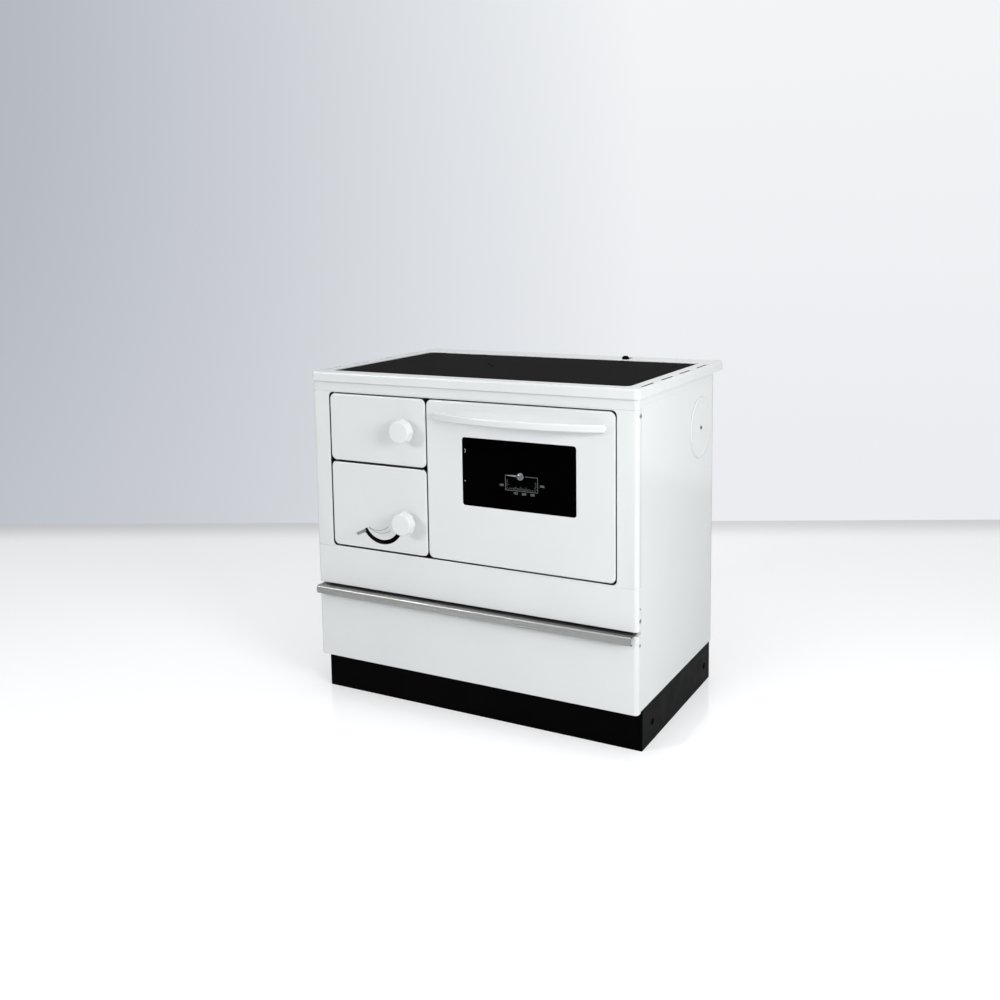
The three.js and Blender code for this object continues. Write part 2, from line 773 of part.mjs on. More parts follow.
function gasketRing(x0, x1, z0, z1) {
  const outline = (grow) => rect(x0 - grow, x1 + grow, z0 - grow, z1 + grow, mouthRadius + grow);
  return cut(
    alongY(outline(gasketGap + gasketWidth), gasketFront, gasketBack),
    alongY(outline(gasketGap), 0, bodyDepth),
  );
}

const spindle = 5;
const knobX = fireDoorRight - 55.2;
const fireKnobZ = doorTop - 80;
const ashKnobZ = doorBottom + 84;
const knobFace = -37;
const knobBack = -12;
const knobLobes = 8;
const knobGroove = 2.6;
const tongueFront = plateBack + 0.6;
const tongueBack = tongueFront + 4;

// Turned knob with a flat round face: its skirt has shallow finger grooves, deepest at the base.
function makeKnob(z) {
  const profile = [
    [0, knobFace],
    [23.5, knobFace],
    [25.5, knobFace + 1.5],
    [27, knobBack - 20],
    [28.8, knobBack - 14],
    [30, knobBack - 8],
    [30, knobBack - 3],
    [27.5, knobBack],
    [21, knobBack + 1],
    [13, knobBack + 4],
    [12, -0.4],
    [0, -0.4],
  ];
  const points = profile.map(([radius, y]) => new THREE.Vector2(radius, y));
  const turned = new THREE.LatheGeometry(points, 4 * knobLobes);
  const place = turned.attributes.position;
  for (let i = 0; i < place.count; i += 1) {
    const radius = Math.hypot(place.getX(i), place.getZ(i));
    const angle = Math.atan2(place.getZ(i), place.getX(i));
    const towardsBase = Math.min((place.getY(i) - knobFace) / (knobBack - knobFace), 1);
    const depth = radius > 20 ? knobGroove * towardsBase : 0;
    const factor = 1 - (depth * (1 - Math.cos(knobLobes * angle))) / 2 / Math.max(radius, 1);
    place.setXYZ(i, place.getX(i) * factor, place.getY(i), place.getZ(i) * factor);
  }
  const bore = rodY(knobX, z, spindle + runningGap, knobBack - 14, 0, 16);
  return solid(turned.translate(knobX, 0, z)).subtract(bore);
}

function makeLatch(z) {
  const rod = rodY(knobX, z, spindle, knobBack - 14 + seat, tongueBack, 16);
  const tongue = alongY(rect(knobX - 7, knobX + 7, z - 35, z + 8, 5), tongueFront, tongueBack);
  return join(rod, tongue);
}

const pivotX = doorsLeft + pivotInset;
const fireDoor = pivotGroup(cabinet, pivotX, pivotDepth, fireDoorBottom);
const fireLatch = pivotGroup(fireDoor, knobX, 0, fireKnobZ);
const ashDoor = pivotGroup(cabinet, pivotX, pivotDepth, doorBottom);
const ashLatch = pivotGroup(ashDoor, knobX, 0, ashKnobZ);

const spindleHole = (z) => rodY(knobX, z, spindle + runningGap, -1, bodyDepth, 16);
const pinHole = rodZ(pivotX, pivotDepth, hingePin + runningGap, 0, overallHeight, 12);
const shieldRear = plateBack + 11.4;

function makeFireDoorPanel() {
  return cut(doorTray(doorsLeft, fireDoorRight, fireDoorBottom, doorTop), spindleHole(fireKnobZ), pinHole);
}

// Liner with a raised heat shield that stands in the fire mouth.
function makeFireDoorLiner() {
  const liner = doorLiner(doorsLeft, fireDoorRight, fireDoorBottom, doorTop);
  const edge = 4;
  const left = chamberLeft + 16;
  const right = knobX - 24;
  const z0 = fireMouthBottom + 10;
  const z1 = fireMouthTop - 10;
  const pillow = cushion(left, right, z0, z1, 10, edge, linerFront - 6, shieldRear);
  const shield = pillow.subtract(block(-bodyHalf, bodyHalf, -1, linerFront + 0.5, 0, overallHeight));
  return cut(join(liner, shield), spindleHole(fireKnobZ));
}

// ---------------------------------------------------------------- air slide in the ash door

const airX = knobX - 79.3;
const airZ = doorBottom + 81.8;
const airRadius = 59.4;
const airSlotWidth = 11;
const airSlotHalfAngle = (60 * Math.PI) / 180;
const leverHalf = 4; // half its width along the slot
const leverThick = 4;
const leverReach = -38;
const shutterRadius = 65;
const shutterFront = linerFront - seat - 2.5;
const airStud = 4;
const windowInner = 18;
const windowOuter = 50;
const windowHalfAngle = (33 * Math.PI) / 180;
const leverAngle = airSlotHalfAngle - (leverHalf + 0.6) / airRadius; // either side of straight down

const airSlide = pivotGroup(ashDoor, airX, shutterFront, airZ);

function airSlot() {
  const down = -Math.PI / 2;
  const band = arcBand(
    airX,
    airZ,
    airRadius - airSlotWidth / 2,
    airRadius + airSlotWidth / 2,
    down - airSlotHalfAngle,
    down + airSlotHalfAngle,
  );
  return alongY(band, -1, sheet + 1, { curveSegments: 10 });
}

function airWindows(y0, y1) {
  return [0, Math.PI].map((middle) =>
    alongY(
      arcBand(airX, airZ, windowInner, windowOuter, middle - windowHalfAngle, middle + windowHalfAngle),
      y0,
      y1,
      { curveSegments: 5 },
    ),
  );
}

function makeAshDoorPanel() {
  const tray = doorTray(doorsLeft, fireDoorRight, doorBottom, ashDoorTop);
  return cut(tray, airSlot(), spindleHole(ashKnobZ), pinHole);
}

function makeAshDoorLiner() {
  const liner = doorLiner(doorsLeft, fireDoorRight, doorBottom, ashDoorTop);
  const stud = rodY(airX, airZ, airStud, shutterFront - 3, linerFront + 0.5, 16);
  const head = rodY(airX, airZ, 8, shutterFront - 3, shutterFront - seat, 20);
  return cut(join(liner, stud, head), spindleHole(ashKnobZ), ...airWindows(linerFront - 1, linerBack + 1));
}

function makeAirSlide() {
  const disc = rodY(airX, airZ, shutterRadius, shutterFront, shutterFront + 2.5, 36);
  const bore = rodY(airX, airZ, airStud + runningGap, 0, bodyDepth, 16);
  const plate = cut(disc, bore, ...airWindows(0, bodyDepth));
  const lever = alongY(
    rect(airRadius - leverThick / 2, airRadius + leverThick / 2, -leverHalf, leverHalf, 1.5),
    leverReach,
    shutterFront + 1,
  );
  const angle = (leverAngle * 180) / Math.PI;
  // the lever is drawn on +X and turned to its rest at the slot's left end
  const turned = lever.rotate([0, 90 + angle, 0]).translate([airX, 0, airZ]);
  return join(plate, turned);
}

// ---------------------------------------------------------------- oven door

const windowLeft = ovenDoorLeft + 99.8;
const windowRight = ovenDoorRight - 96;
const windowBottom = doorBottom + 143.5;
const windowTop = doorTop - 85.5;
const windowRadius = 5;
const glassThickness = 4;
const glassLap = 9;
const glassFront = sheet + seat;
const glassBack = glassFront + glassThickness;
const handleLeft = ovenDoorLeft + 28.8;
const handleRight = ovenDoorRight - 23;
const handleZ = doorTop - 38.5;
const handleHeight = 17;
const handleDepth = 11;
const handleBow = 34;
const handleEnd = -8; // centre of the bar at its ends, in front of the door
const footWidth = 19.5;
const gaugeX = (windowLeft + windowRight) / 2 + 7;
const gaugeZ = (windowBottom + windowTop) / 2 + 0.5;
const gaugeStem = 3; // radius

const ovenDoor = pivotGroup(cabinet, 0, pivotDepth, ovenPivotZ);
const pointer = pivotGroup(ovenDoor, gaugeX, 0, gaugeZ);

const lugNotches = lugPlaces.map((x) =>
  block(x - lugHalf - 1, x + lugHalf + 1, sheet, bodyDepth, 0, ovenPivotZ + lugRadius + 1.2),
);

function windowOutline(grow, radius) {
  return rect(windowLeft - grow, windowRight + grow, windowBottom - grow, windowTop + grow, radius);
}

function makeOvenDoorPanel() {
  const tray = doorTray(ovenDoorLeft, ovenDoorRight, doorBottom, doorTop);
  const bore = rodX(pivotDepth, ovenPivotZ, ovenPin + runningGap, -overallWidth, overallWidth, 12);
  return cut(tray, alongY(windowOutline(0, windowRadius), -1, bodyDepth), bore, ...lugNotches);
}

function makeOvenGlass() {
  const pane = alongY(windowOutline(glassLap, windowRadius), glassFront, glassBack);
  return cut(pane, rodY(gaugeX, gaugeZ, gaugeStem + runningGap, 0, bodyDepth, 16));
}

function makeOvenDoorLiner() {
  const liner = doorLiner(ovenDoorLeft, ovenDoorRight, doorBottom, doorTop);
  const tunnel = alongY(windowOutline(6, 6), glassBack + seat, linerFront + 0.5);
  return cut(join(liner, tunnel), alongY(windowOutline(4, 6), 0, bodyDepth), ...lugNotches);
}

// Bow handle: a flattened bar along an arc, with a foot at each end on the door's face.
function makeHandle() {
  const half = (handleRight - handleLeft) / 2;
  const middle = (handleLeft + handleRight) / 2;
  const radius = (half * half + handleBow * handleBow) / (2 * handleBow);
  const centreY = handleEnd - handleBow + radius;
  const sweep = Math.asin(half / radius);
  const steps = 12;
  const points = [];
  for (let i = 0; i <= steps; i += 1) {
    const angle = -sweep + (2 * sweep * i) / steps;
    const x = middle + radius * Math.sin(angle);
    points.push(new THREE.Vector3(x, centreY - radius * Math.cos(angle), handleZ));
  }
  const path = new THREE.CatmullRomCurve3(points);
  const u = handleHeight / 2;
  const v = handleDepth / 2;
  const section = rect(-u, u, -v, v, 4.5);
  const along = { steps, extrudePath: path, bevelEnabled: false, curveSegments: 2 };
  const bar = solid(new THREE.ExtrudeGeometry(section, along));
  const foot = (x0) =>
    alongY(rect(x0, x0 + footWidth, handleZ - u + 1, handleZ + u - 1, 3), handleEnd, -seat);
  return join(bar, foot(handleLeft + 0.5), foot(handleRight - 0.5 - footWidth));
}

function makeGaugeBoss() {
  const profile = [
    [0, -7],
    [3.5, -6.8],
    [7, -5.5],
    [9, -3],
    [9, -1],
    [gaugeStem, -1],
    [gaugeStem, glassBack - 0.5],
    [0, glassBack - 0.5],
  ];
  return turnedY(gaugeX, gaugeZ, profile, 16);
}

function makePointer() {
  const hub = rodY(gaugeX, gaugeZ, 6, -0.7, 1.9, 20);
  const shape = new THREE.Shape();
  shape.moveTo(gaugeX, gaugeZ - 2.5);
  shape.lineTo(gaugeX, gaugeZ + 2.5);
  shape.lineTo(gaugeX - 36, gaugeZ + 0.7);
  shape.lineTo(gaugeX - 36, gaugeZ - 0.7);
  const needle = alongY(shape, 0.6, 1.8);
  return cut(join(hub, needle), rodY(gaugeX, gaugeZ, gaugeStem + runningGap, -bodyDepth, bodyDepth, 16));
}

// ---------------------------------------------------------------- wood drawer

const drawerHalf = bodyHalf - 32;
const drawerSheet = 1.5;
const drawerBottom = plinthHeight + 9.6;
const drawerWallTop = drawerFrontTop - 23.7;
const drawerRear = bodyDepth - 25;
const runnerBottom = drawerBottom + 66;
const runnerHeight = 23;
const runnerReach = sideFlange + sheet + 0.5; // clear of the side panel's front flange
const channelSheet = 2;
const railProud = 20; // grip rail in front of the drawer's face
const railLip = 17;
const railInset = 8;

// Open box with a runner bar on each side and an inner front plate that closes the panel's pan.
function makeDrawerBox() {
  const y0 = returnDepth + seat;
  const wall = drawerSheet;
  const reach = bodyHalf - runnerReach;
  const runnerZ = runnerBottom + channelSheet + seat;
  const insideHalf = drawerHalf - wall;
  const floor = drawerBottom + wall;
  const box = block(-drawerHalf, drawerHalf, y0, drawerRear, drawerBottom, drawerWallTop);
  const inside = block(-insideHalf, insideHalf, y0 + wall, drawerRear - wall, floor, overallHeight);
  const frontPlate = block(-reach, reach, y0, y0 + wall, drawerFrontBottom + 0.5, drawerFrontTop - 0.5);
  const bar = block(drawerHalf - 0.5, reach, plateBack, drawerRear - 8, runnerZ, runnerZ + runnerHeight);
  return join(cut(box, inside), frontPlate, bar, bar.mirror([1, 0, 0]));
}

function makeSlide(side) {
  const height = runnerHeight + 2 * channelSheet + 2 * seat;
  const x0 = bodyHalf - 28;
  const web = channelSheet;
  const top = runnerBottom + height;
  const channel = cut(
    block(x0, innerHalf, plateBack + 4, drawerRear + 10, runnerBottom, top),
    block(x0 - 1, innerHalf - web, 0, bodyDepth, runnerBottom + web, top - web),
  );
  return side < 0 ? channel.mirror([1, 0, 0]) : channel;
}

// Folded stainless strip over the drawer's top edge: the fingers go in under its lip.
function makeDrawerRail() {
  const half = bodyHalf - railInset;
  const z1 = railTop;
  const profile = new THREE.Shape();
  profile.moveTo(returnDepth - 3, z1 - sheet);
  profile.lineTo(returnDepth - 3, z1);
  profile.lineTo(-railProud + 2, z1);
  profile.absarc(-railProud + 2, z1 - 2, 2, Math.PI / 2, Math.PI);
  profile.lineTo(-railProud, z1 - railLip);
  profile.lineTo(-railProud + 7, z1 - railLip);
  profile.lineTo(-railProud + 7, z1 - railLip + 1.6);
  profile.lineTo(-railProud + 1.8, z1 - railLip + 1.6);
  profile.lineTo(-railProud + 1.8, z1 - sheet);
  return alongX(profile, -half, half);
}

// ---------------------------------------------------------------- start-up damper

const damperKnobRadius = 10;
const damperKnobHeight = 9;
const stemTop = overallHeight + 3;

// Valve disc on a rod that leaves through the back panel and turns up through the hob frame.
function makeDamperValve() {
  const discFront = baffleY + 2 + seat;
  const disc = rodY(damperX, damperZ, valveRadius, discFront, discFront + 3, 28);
  const rod = rodY(damperX, damperZ, damperRod, discFront, damperRest + damperRod, 12);
  const riser = rodZ(damperX, damperRest, damperRod, damperZ - damperRod, stemTop, 12);
  return join(disc, rod, riser);
}

function makeDamperKnob() {
  const z0 = overallHeight + seat;
  const points = [new THREE.Vector2(0, z0), new THREE.Vector2(damperKnobRadius - 1, z0)];
  for (let i = 0; i <= 6; i += 1) {
    const angle = (Math.PI / 2) * (i / 6);
    const rise = 2 + (damperKnobHeight - 2) * Math.sin(angle);
    points.push(new THREE.Vector2(damperKnobRadius * Math.cos(angle), z0 + rise));
  }
  points[points.length - 1].x = 0;
  const dome = new THREE.LatheGeometry(points, 16).rotateX(Math.PI / 2).translate(damperX, damperRest, 0);
  return solid(dome).subtract(rodZ(damperX, damperRest, damperRod + runningGap, 0, stemTop + seat, 12));
}

// ---------------------------------------------------------------- assembly

const drawer = new THREE.Group();
const damper = new THREE.Group();
cabinet.add(drawer, damper);

add(cabinet, 'plinth_frame', makePlinth(), blackEnamel());
const footX = plinthHalf - footInset;
const footFront = plinthSetback + footInset;
const footRear = bodyDepth - footInset;
add(cabinet, 'foot_front_left', makeFoot(-footX, footFront), zincSteel());
add(cabinet, 'foot_front_right', makeFoot(footX, footFront), zincSteel());
add(cabinet, 'foot_rear_left', makeFoot(-footX, footRear), zincSteel());
add(cabinet, 'foot_rear_right', makeFoot(footX, footRear), zincSteel());
add(cabinet, 'base_panel', makeBase(), zincSteel());
add(cabinet, 'side_panel_left', makeSidePanel(-1), whiteEnamel());
add(cabinet, 'side_panel_right', makeSidePanel(1), whiteEnamel());
add(cabinet, 'back_panel', makeBackPanel(), zincSteel());
add(cabinet, 'deck_panel', makeDeck(), zincSteel());
add(cabinet, 'top_band', makeTopBand(), whiteEnamel());
add(cabinet, 'front_frame', makeFrontFrame(), whiteEnamel());
add(cabinet, 'lower_panel', wrapPanel(lowerPanelBottom, lowerPanelTop), whiteEnamel());
add(cabinet, 'front_plate', makeFrontPlate(), castIron());
add(cabinet, 'hob_frame', makeHobFrame(), whiteEnamel());
add(cabinet, 'hob_plate', makeHobPlate(), blackSteel());
add(cabinet, 'flue_cover_disc', makeFlueCover(), whiteEnamel());
add(cabinet, 'flue_cover_screw', makeFlueScrew(), zincSteel());
add(cabinet, 'flue_collar', makeFlueCollar(), castIron());
add(cabinet, 'firebox_casing', makeCasing(), blackSteel());
add(cabinet, 'firebrick_left', makeSideBrick(leftBrickFace - brick), firebrick());
add(cabinet, 'firebrick_right', makeSideBrick(rightBrickFace), firebrick());
add(cabinet, 'firebrick_rear', makeRearBrick(), firebrick());
add(cabinet, 'fire_grate', makeGrate(), castIron());
add(cabinet, 'ash_pan', makeAshPan(), zincSteel());
add(cabinet, 'oven_box', makeOvenBox(), greyEnamel());
add(cabinet, 'oven_support', makeOvenSupport(), zincSteel());
add(cabinet, 'oven_runner_left', makeRunner(-1), stainless());
add(cabinet, 'oven_runner_right', makeRunner(1), stainless());
add(cabinet, 'oven_rack', makeRack(), stainless());
add(cabinet, 'baking_tray', makeBakingTray(), greyEnamel());
add(cabinet, 'flue_baffle', makeBaffle(), blackSteel());
add(cabinet, 'drawer_slide_left', makeSlide(-1), zincSteel());
add(cabinet, 'drawer_slide_right', makeSlide(1), zincSteel());
const doorPin = rodZ(pivotX, pivotDepth, hingePin, frameBottom, frameTop, 12);
add(cabinet, 'door_hinge_pin', doorPin, zincSteel());
const ovenRod = rodX(pivotDepth, ovenPivotZ, ovenPin, ovenDoorLeft + 0.5, ovenDoorRight - 0.5, 12);
add(cabinet, 'oven_hinge_rod', ovenRod, zincSteel());

add(fireDoor, 'fire_door_panel', makeFireDoorPanel(), whiteEnamel());
add(fireDoor, 'fire_door_liner', makeFireDoorLiner(), castIron());
const fireSeal = gasketRing(chamberLeft, chamberRight, fireMouthBottom, fireMouthTop);
add(fireDoor, 'fire_door_gasket', fireSeal, ropeSeal());
add(fireLatch, 'fire_door_knob', makeKnob(fireKnobZ), whitePlastic());
add(fireLatch, 'fire_latch', makeLatch(fireKnobZ), zincSteel());

add(ashDoor, 'ash_door_panel', makeAshDoorPanel(), whiteEnamel());
add(ashDoor, 'ash_door_liner', makeAshDoorLiner(), castIron());
const ashSeal = gasketRing(chamberLeft, chamberRight, ashMouthBottom, ashMouthTop);
add(ashDoor, 'ash_door_gasket', ashSeal, ropeSeal());
add(ashLatch, 'ash_door_knob', makeKnob(ashKnobZ), whitePlastic());
add(ashLatch, 'ash_latch', makeLatch(ashKnobZ), zincSteel());
add(airSlide, 'air_slide', makeAirSlide(), stainless());

add(ovenDoor, 'oven_door_panel', makeOvenDoorPanel(), whiteEnamel());
add(ovenDoor, 'oven_door_glass', makeOvenGlass(), darkGlass());
add(ovenDoor, 'oven_door_liner', makeOvenDoorLiner(), greyEnamel());
add(ovenDoor, 'oven_door_gasket', gasketRing(ovenLeft, ovenRight, ovenBottom, ovenTop), ropeSeal());
add(ovenDoor, 'oven_handle', makeHandle(), whiteEnamel());
add(ovenDoor, 'thermometer_boss', makeGaugeBoss(), stainless());
add(pointer, 'thermometer_pointer', makePointer(), stainless());

add(drawer, 'wood_drawer_box', makeDrawerBox(), zincSteel());
add(drawer, 'wood_drawer_front', wrapPanel(drawerFrontBottom, drawerFrontTop), whiteEnamel());
add(drawer, 'drawer_rail', makeDrawerRail(), stainless());

add(damper, 'damper_valve', makeDamperValve(), blackSteel());
add(damper, 'damper_knob', makeDamperKnob(), blackEnamel());

// origin on the floor, under the middle of the stove's overall box
const bounds = new THREE.Box3().setFromObject(stove);
stove.position.y = -(bounds.min.y + bounds.max.y) / 2;

export default stove;
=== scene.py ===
import random
from math import asin, atan2, cos, degrees, dist, hypot, pi, radians, sin

import bmesh
import bpy
from mathutils import Matrix, Vector


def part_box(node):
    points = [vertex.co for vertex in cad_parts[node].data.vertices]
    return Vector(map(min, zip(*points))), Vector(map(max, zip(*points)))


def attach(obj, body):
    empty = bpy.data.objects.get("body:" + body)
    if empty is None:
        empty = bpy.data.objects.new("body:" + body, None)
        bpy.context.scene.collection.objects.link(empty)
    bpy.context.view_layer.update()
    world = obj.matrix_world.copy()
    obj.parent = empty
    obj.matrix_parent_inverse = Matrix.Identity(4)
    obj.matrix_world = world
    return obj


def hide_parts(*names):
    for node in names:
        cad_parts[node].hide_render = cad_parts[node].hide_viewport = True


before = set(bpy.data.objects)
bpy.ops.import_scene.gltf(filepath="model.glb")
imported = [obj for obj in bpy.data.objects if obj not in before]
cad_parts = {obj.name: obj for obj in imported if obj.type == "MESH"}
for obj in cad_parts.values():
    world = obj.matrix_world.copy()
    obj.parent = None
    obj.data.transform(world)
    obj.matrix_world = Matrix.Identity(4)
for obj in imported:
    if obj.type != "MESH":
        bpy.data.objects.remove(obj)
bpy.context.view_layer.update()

random.seed(7)
scene = bpy.context.scene
scene.view_settings.view_transform = "Standard"

# Pieces are drawn in millimetres, with y = 0 at the faces of the doors and z = 0 on the floor.
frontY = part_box("oven_door_panel")[0].y
toFrame = Matrix.Translation((0, frontY, 0)) @ Matrix.Scale(0.001, 4)


def sizeOf(node):
    low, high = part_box(node)
    return [1000 * v for v in (low.x, high.x, low.y - frontY, high.y - frontY, low.z, high.z)]


print("stage: camera, floor and lamps")

photoView = {
    "place": (1332.7, -2266.6, 1187.0),
    "yaw": 0.4972,
    "pitch": 0.1287,
    "roll": -0.0142,
    "lens": 40.17,
    "shift": -0.12,  # the photograph was cropped off its middle
}


def placeCamera(look):
    yaw, pitch, roll = look["yaw"], look["pitch"], look["roll"]
    right = Vector((cos(yaw), sin(yaw), 0))
    ahead = Vector((-sin(yaw) * cos(pitch), cos(yaw) * cos(pitch), -sin(pitch)))
    above = right.cross(ahead)
    across = cos(roll) * right + sin(roll) * above
    upward = cos(roll) * above - sin(roll) * right
    data = bpy.data.cameras.new("photoCamera")
    data.lens = look["lens"]
    data.sensor_width = 36
    data.shift_y = look["shift"]
    data.clip_end = 100
    camera = bpy.data.objects.new("photoCamera", data)
    turned = Matrix((across, upward, -ahead)).transposed().to_4x4()
    camera.matrix_world = Matrix.Translation(toFrame @ Vector(look["place"])) @ turned
    scene.collection.objects.link(camera)
    scene.camera = camera


placeCamera(photoView)


def linear(colour):
    parts = [int(colour[i:i + 2], 16) / 255 for i in (1, 3, 5)]
    return [p / 12.92 if p <= 0.04045 else ((p + 0.055) / 1.055) ** 2.4 for p in parts] + [1.0]


# A value is a number, a hex colour, a socket, or a node, which stands for its first output.
def feed(tree, node, inputs):
    for socket, value in inputs.items():
        if isinstance(value, bpy.types.Node):
            value = next(out for out in value.outputs if not out.is_unavailable)
        if isinstance(value, bpy.types.NodeSocket):
            tree.links.new(value, node.inputs[socket])
        else:
            node.inputs[socket].default_value = linear(value) if isinstance(value, str) else value
    return node


def addNode(tree, kind, inputs, **settings):
    made = tree.nodes.new("ShaderNode" + kind)
    for key, value in settings.items():
        setattr(made, key, value)
    return feed(tree, made, inputs)


def newMaterial(name):
    material = bpy.data.materials.new(name)
    material.use_nodes = True
    tree = material.node_tree
    place = addNode(tree, "TexCoord", {}).outputs["Object"]  # metres
    return material, tree, tree.nodes["Principled BSDF"], place


studio = {
    "floor": "#f1f2f3",
    "floorGloss": 0.3,
    "floorFar": 1.67,  # metres from the stove's middle to the floor's far edge
    "floorNear": -14,
    "floorHalf": 30,  # half its width
    "floorTurn": -0.037,  # radians, so that the far edge looks level
    "floorFade": 0.3,  # metres over which the floor sinks into the wall there
    "floorGlow": (0.1, 0.33),  # far and near: what a camera sees on top of the lit floor, which lights nothing
    "wallLow": ("#bcc0c8", "#ebedf0"),  # from left to right
    "wallHigh": ("#aeb3bd", "#f3f5f7"),
    "fill": "#f8f9fa",
    "ambient": 0.30,
}


def layFloor(look):
    material, tree, shader, place = newMaterial("lacqueredFloor")
    # studio floor, painted and lacquered: nearly white, with a faint mirror image in its coat
    ripple = addNode(tree, "TexNoise", {"Vector": place, "Scale": 3.0, "Detail": 2.0})
    rough = addNode(tree, "MapRange", {"Value": ripple, "To Min": 0.05, "To Max": 0.09})
    apart = addNode(tree, "SeparateXYZ", {"Vector": place})
    far, half = look["floorFar"], look["floorHalf"]
    dim, bright = look["floorGlow"]
    near = addNode(tree, "MapRange", {"Value": apart.outputs["Y"], "From Min": far, "To Min": dim, "To Max": bright,
                                      "From Max": far - look["floorFade"]}, interpolation_type="SMOOTHSTEP")
    path = addNode(tree, "LightPath", {})
    glow = addNode(tree, "Math", {0: near, 1: path.outputs["Is Camera Ray"]}, operation="MULTIPLY")
    feed(tree, shader, {"Base Color": look["floor"], "Specular IOR Level": look["floorGloss"], "Roughness": rough,
                        "Emission Color": "#ffffff", "Emission Strength": glow})
    mesh = bpy.data.meshes.new("floor")
    corners = [(-half, look["floorNear"], 0), (half, look["floorNear"], 0), (half, far, 0), (-half, far, 0)]
    mesh.from_pydata(corners, [], [(0, 1, 2, 3)])
    mesh.materials.append(material)
    floor = bpy.data.objects.new("floor", mesh)
    floor.rotation_euler.z = photoView["yaw"] + look["floorTurn"]
    scene.collection.objects.link(floor)


def lightWorld(look):
    world = bpy.data.worlds.new("studio")
    scene.world = world
    world.use_nodes = True
    tree = world.node_tree
    tree.nodes.clear()
    aim = addNode(tree, "TexCoord", {}).outputs["Generated"]
    apart = addNode(tree, "SeparateXYZ", {"Vector": aim})
    side = addNode(tree, "MapRange", {"Value": apart.outputs["X"], "From Min": -0.8, "From Max": -0.36})
    rise = addNode(tree, "MapRange", {"Value": apart.outputs["Z"], "From Min": -0.2, "From Max": 0.2})
    low, high = [addNode(tree, "Mix", {"Factor": side, "A": look[part][0], "B": look[part][1]}, data_type="RGBA")
                 for part in ("wallLow", "wallHigh")]
    wall = addNode(tree, "Mix", {"Factor": rise, "A": low, "B": high}, data_type="RGBA")
    seen = addNode(tree, "Background", {"Color": wall, "Strength": 1.0})
    fill = addNode(tree, "Background", {"Color": look["fill"], "Strength": look["ambient"]})
    path = addNode(tree, "LightPath", {})
    direct = addNode(tree, "Math", {0: path.outputs["Is Camera Ray"], 1: path.outputs["Is Glossy Ray"]},
                     operation="MAXIMUM")
    shown = addNode(tree, "Math", {0: direct, 1: path.outputs["Is Transmission Ray"]}, operation="MAXIMUM")
    mixed = addNode(tree, "MixShader", {0: shown, 1: fill, 2: seen})
    addNode(tree, "OutputWorld", {"Surface": mixed})


# Metres and watts. A lamp that isn't mirrored leaves no patch on the glossy floor.
lamps = {
    "rightPanel": {"place": (2.2, -1.32, 1.35), "aim": (0.35, 0, 0.5), "size": 1.1, "power": 38, "mirrored": False},
    "frontLeftLamp": {"place": (-2.2, -3.1, 1.9), "aim": (0, -0.3, 0.5), "size": 0.9, "power": 40, "mirrored": True},
    "topPanel": {"place": (0.2, -0.5, 3.4), "aim": (0, 0, 0.4), "size": 2.6, "power": 29, "mirrored": True},
}


def hangLamps(looks):
    for name, look in looks.items():
        data = bpy.data.lights.new(name, "AREA")
        data.shape = "SQUARE"
        data.size = look["size"]
        data.energy = look["power"]
        lamp = bpy.data.objects.new(name, data)
        lamp.visible_glossy = look["mirrored"]
        lamp.location = look["place"]
        lamp.rotation_euler = (Vector(look["aim"]) - lamp.location).to_track_quat("-Z", "Y").to_euler()
        scene.collection.objects.link(lamp)


layFloor(studio)
lightWorld(studio)
hangLamps(lamps)

print("stage: finishes")

# Pattern sizes are in millimetres.
whiteEnamelLook = {"colour": "#eaecec", "shade": "#e4e7e8", "rough": (0.09, 0.17), "peel": 7, "peelDepth": 0.05}
blackEnamelLook = {"colour": "#010101", "shade": "#040404", "rough": (0.32, 0.42), "peel": 5, "peelDepth": 0.05,
                   "gloss": 0.02}
# Dark ground coat: the real enamel of the sheets' backs and cut edges, and also painted shade on lips, skirts,
# grooves and slot walls that lie in shade.
backCoatAndShadeLook = {"colour": "#1b1d1f", "shade": "#24272a", "rough": (0.35, 0.5), "peel": 6, "peelDepth": 0.05}
ovenEnamelLook = {"colour": "#34373a", "shade": "#2b2d30", "rough": (0.18, 0.3), "peel": 4, "peelDepth": 0.04,
                  "fleck": "#8d9296", "fleckSize": 2.2}


def firedEnamel(name, look):
    # vitreous enamel, sprayed and fired: a glassy coat with a faint orange peel that ripples its reflections
    material, tree, shader, place = newMaterial(name)
    drift = addNode(tree, "TexNoise", {"Vector": place, "Scale": 1000 / 160, "Detail": 3.0})
    colour = addNode(tree, "Mix", {"Factor": drift, "A": look["colour"], "B": look["shade"]}, data_type="RGBA")
    if "fleck" in look:
        flecks = addNode(tree, "TexVoronoi", {"Vector": place, "Scale": 1000 / look["fleckSize"]})
        spot = addNode(tree, "MapRange", {"Value": flecks, "From Min": 0.16, "From Max": 0.1})
        colour = addNode(tree, "Mix", {"Factor": spot, "A": colour, "B": look["fleck"]}, data_type="RGBA")
    wiped = addNode(tree, "TexNoise", {"Vector": place, "Scale": 1000 / 45, "Detail": 4.0})
    low, high = look["rough"]
    rough = addNode(tree, "MapRange", {"Value": wiped, "From Min": 0.3, "From Max": 0.7, "To Min": low,
                                       "To Max": high})
    peel = addNode(tree, "TexNoise", {"Vector": place, "Scale": 1000 / look["peel"], "Detail": 1.0})
    bump = addNode(tree, "Bump", {"Height": peel, "Strength": 0.35, "Distance": look["peelDepth"] / 1000})
    feed(tree, shader, {"Base Color": colour, "Roughness": rough, "Normal": bump, "IOR": 1.52,  # glass
                        "Specular IOR Level": look.get("gloss", 0.5)})
    return material


whiteEnamel = firedEnamel("whiteVitreousEnamel", whiteEnamelLook)
blackEnamel = firedEnamel("blackVitreousEnamel", blackEnamelLook)
ovenEnamel = firedEnamel("speckledOvenEnamel", ovenEnamelLook)
backCoatAndPaintedShade = firedEnamel("darkBackCoatAndPaintedShade", backCoatAndShadeLook)

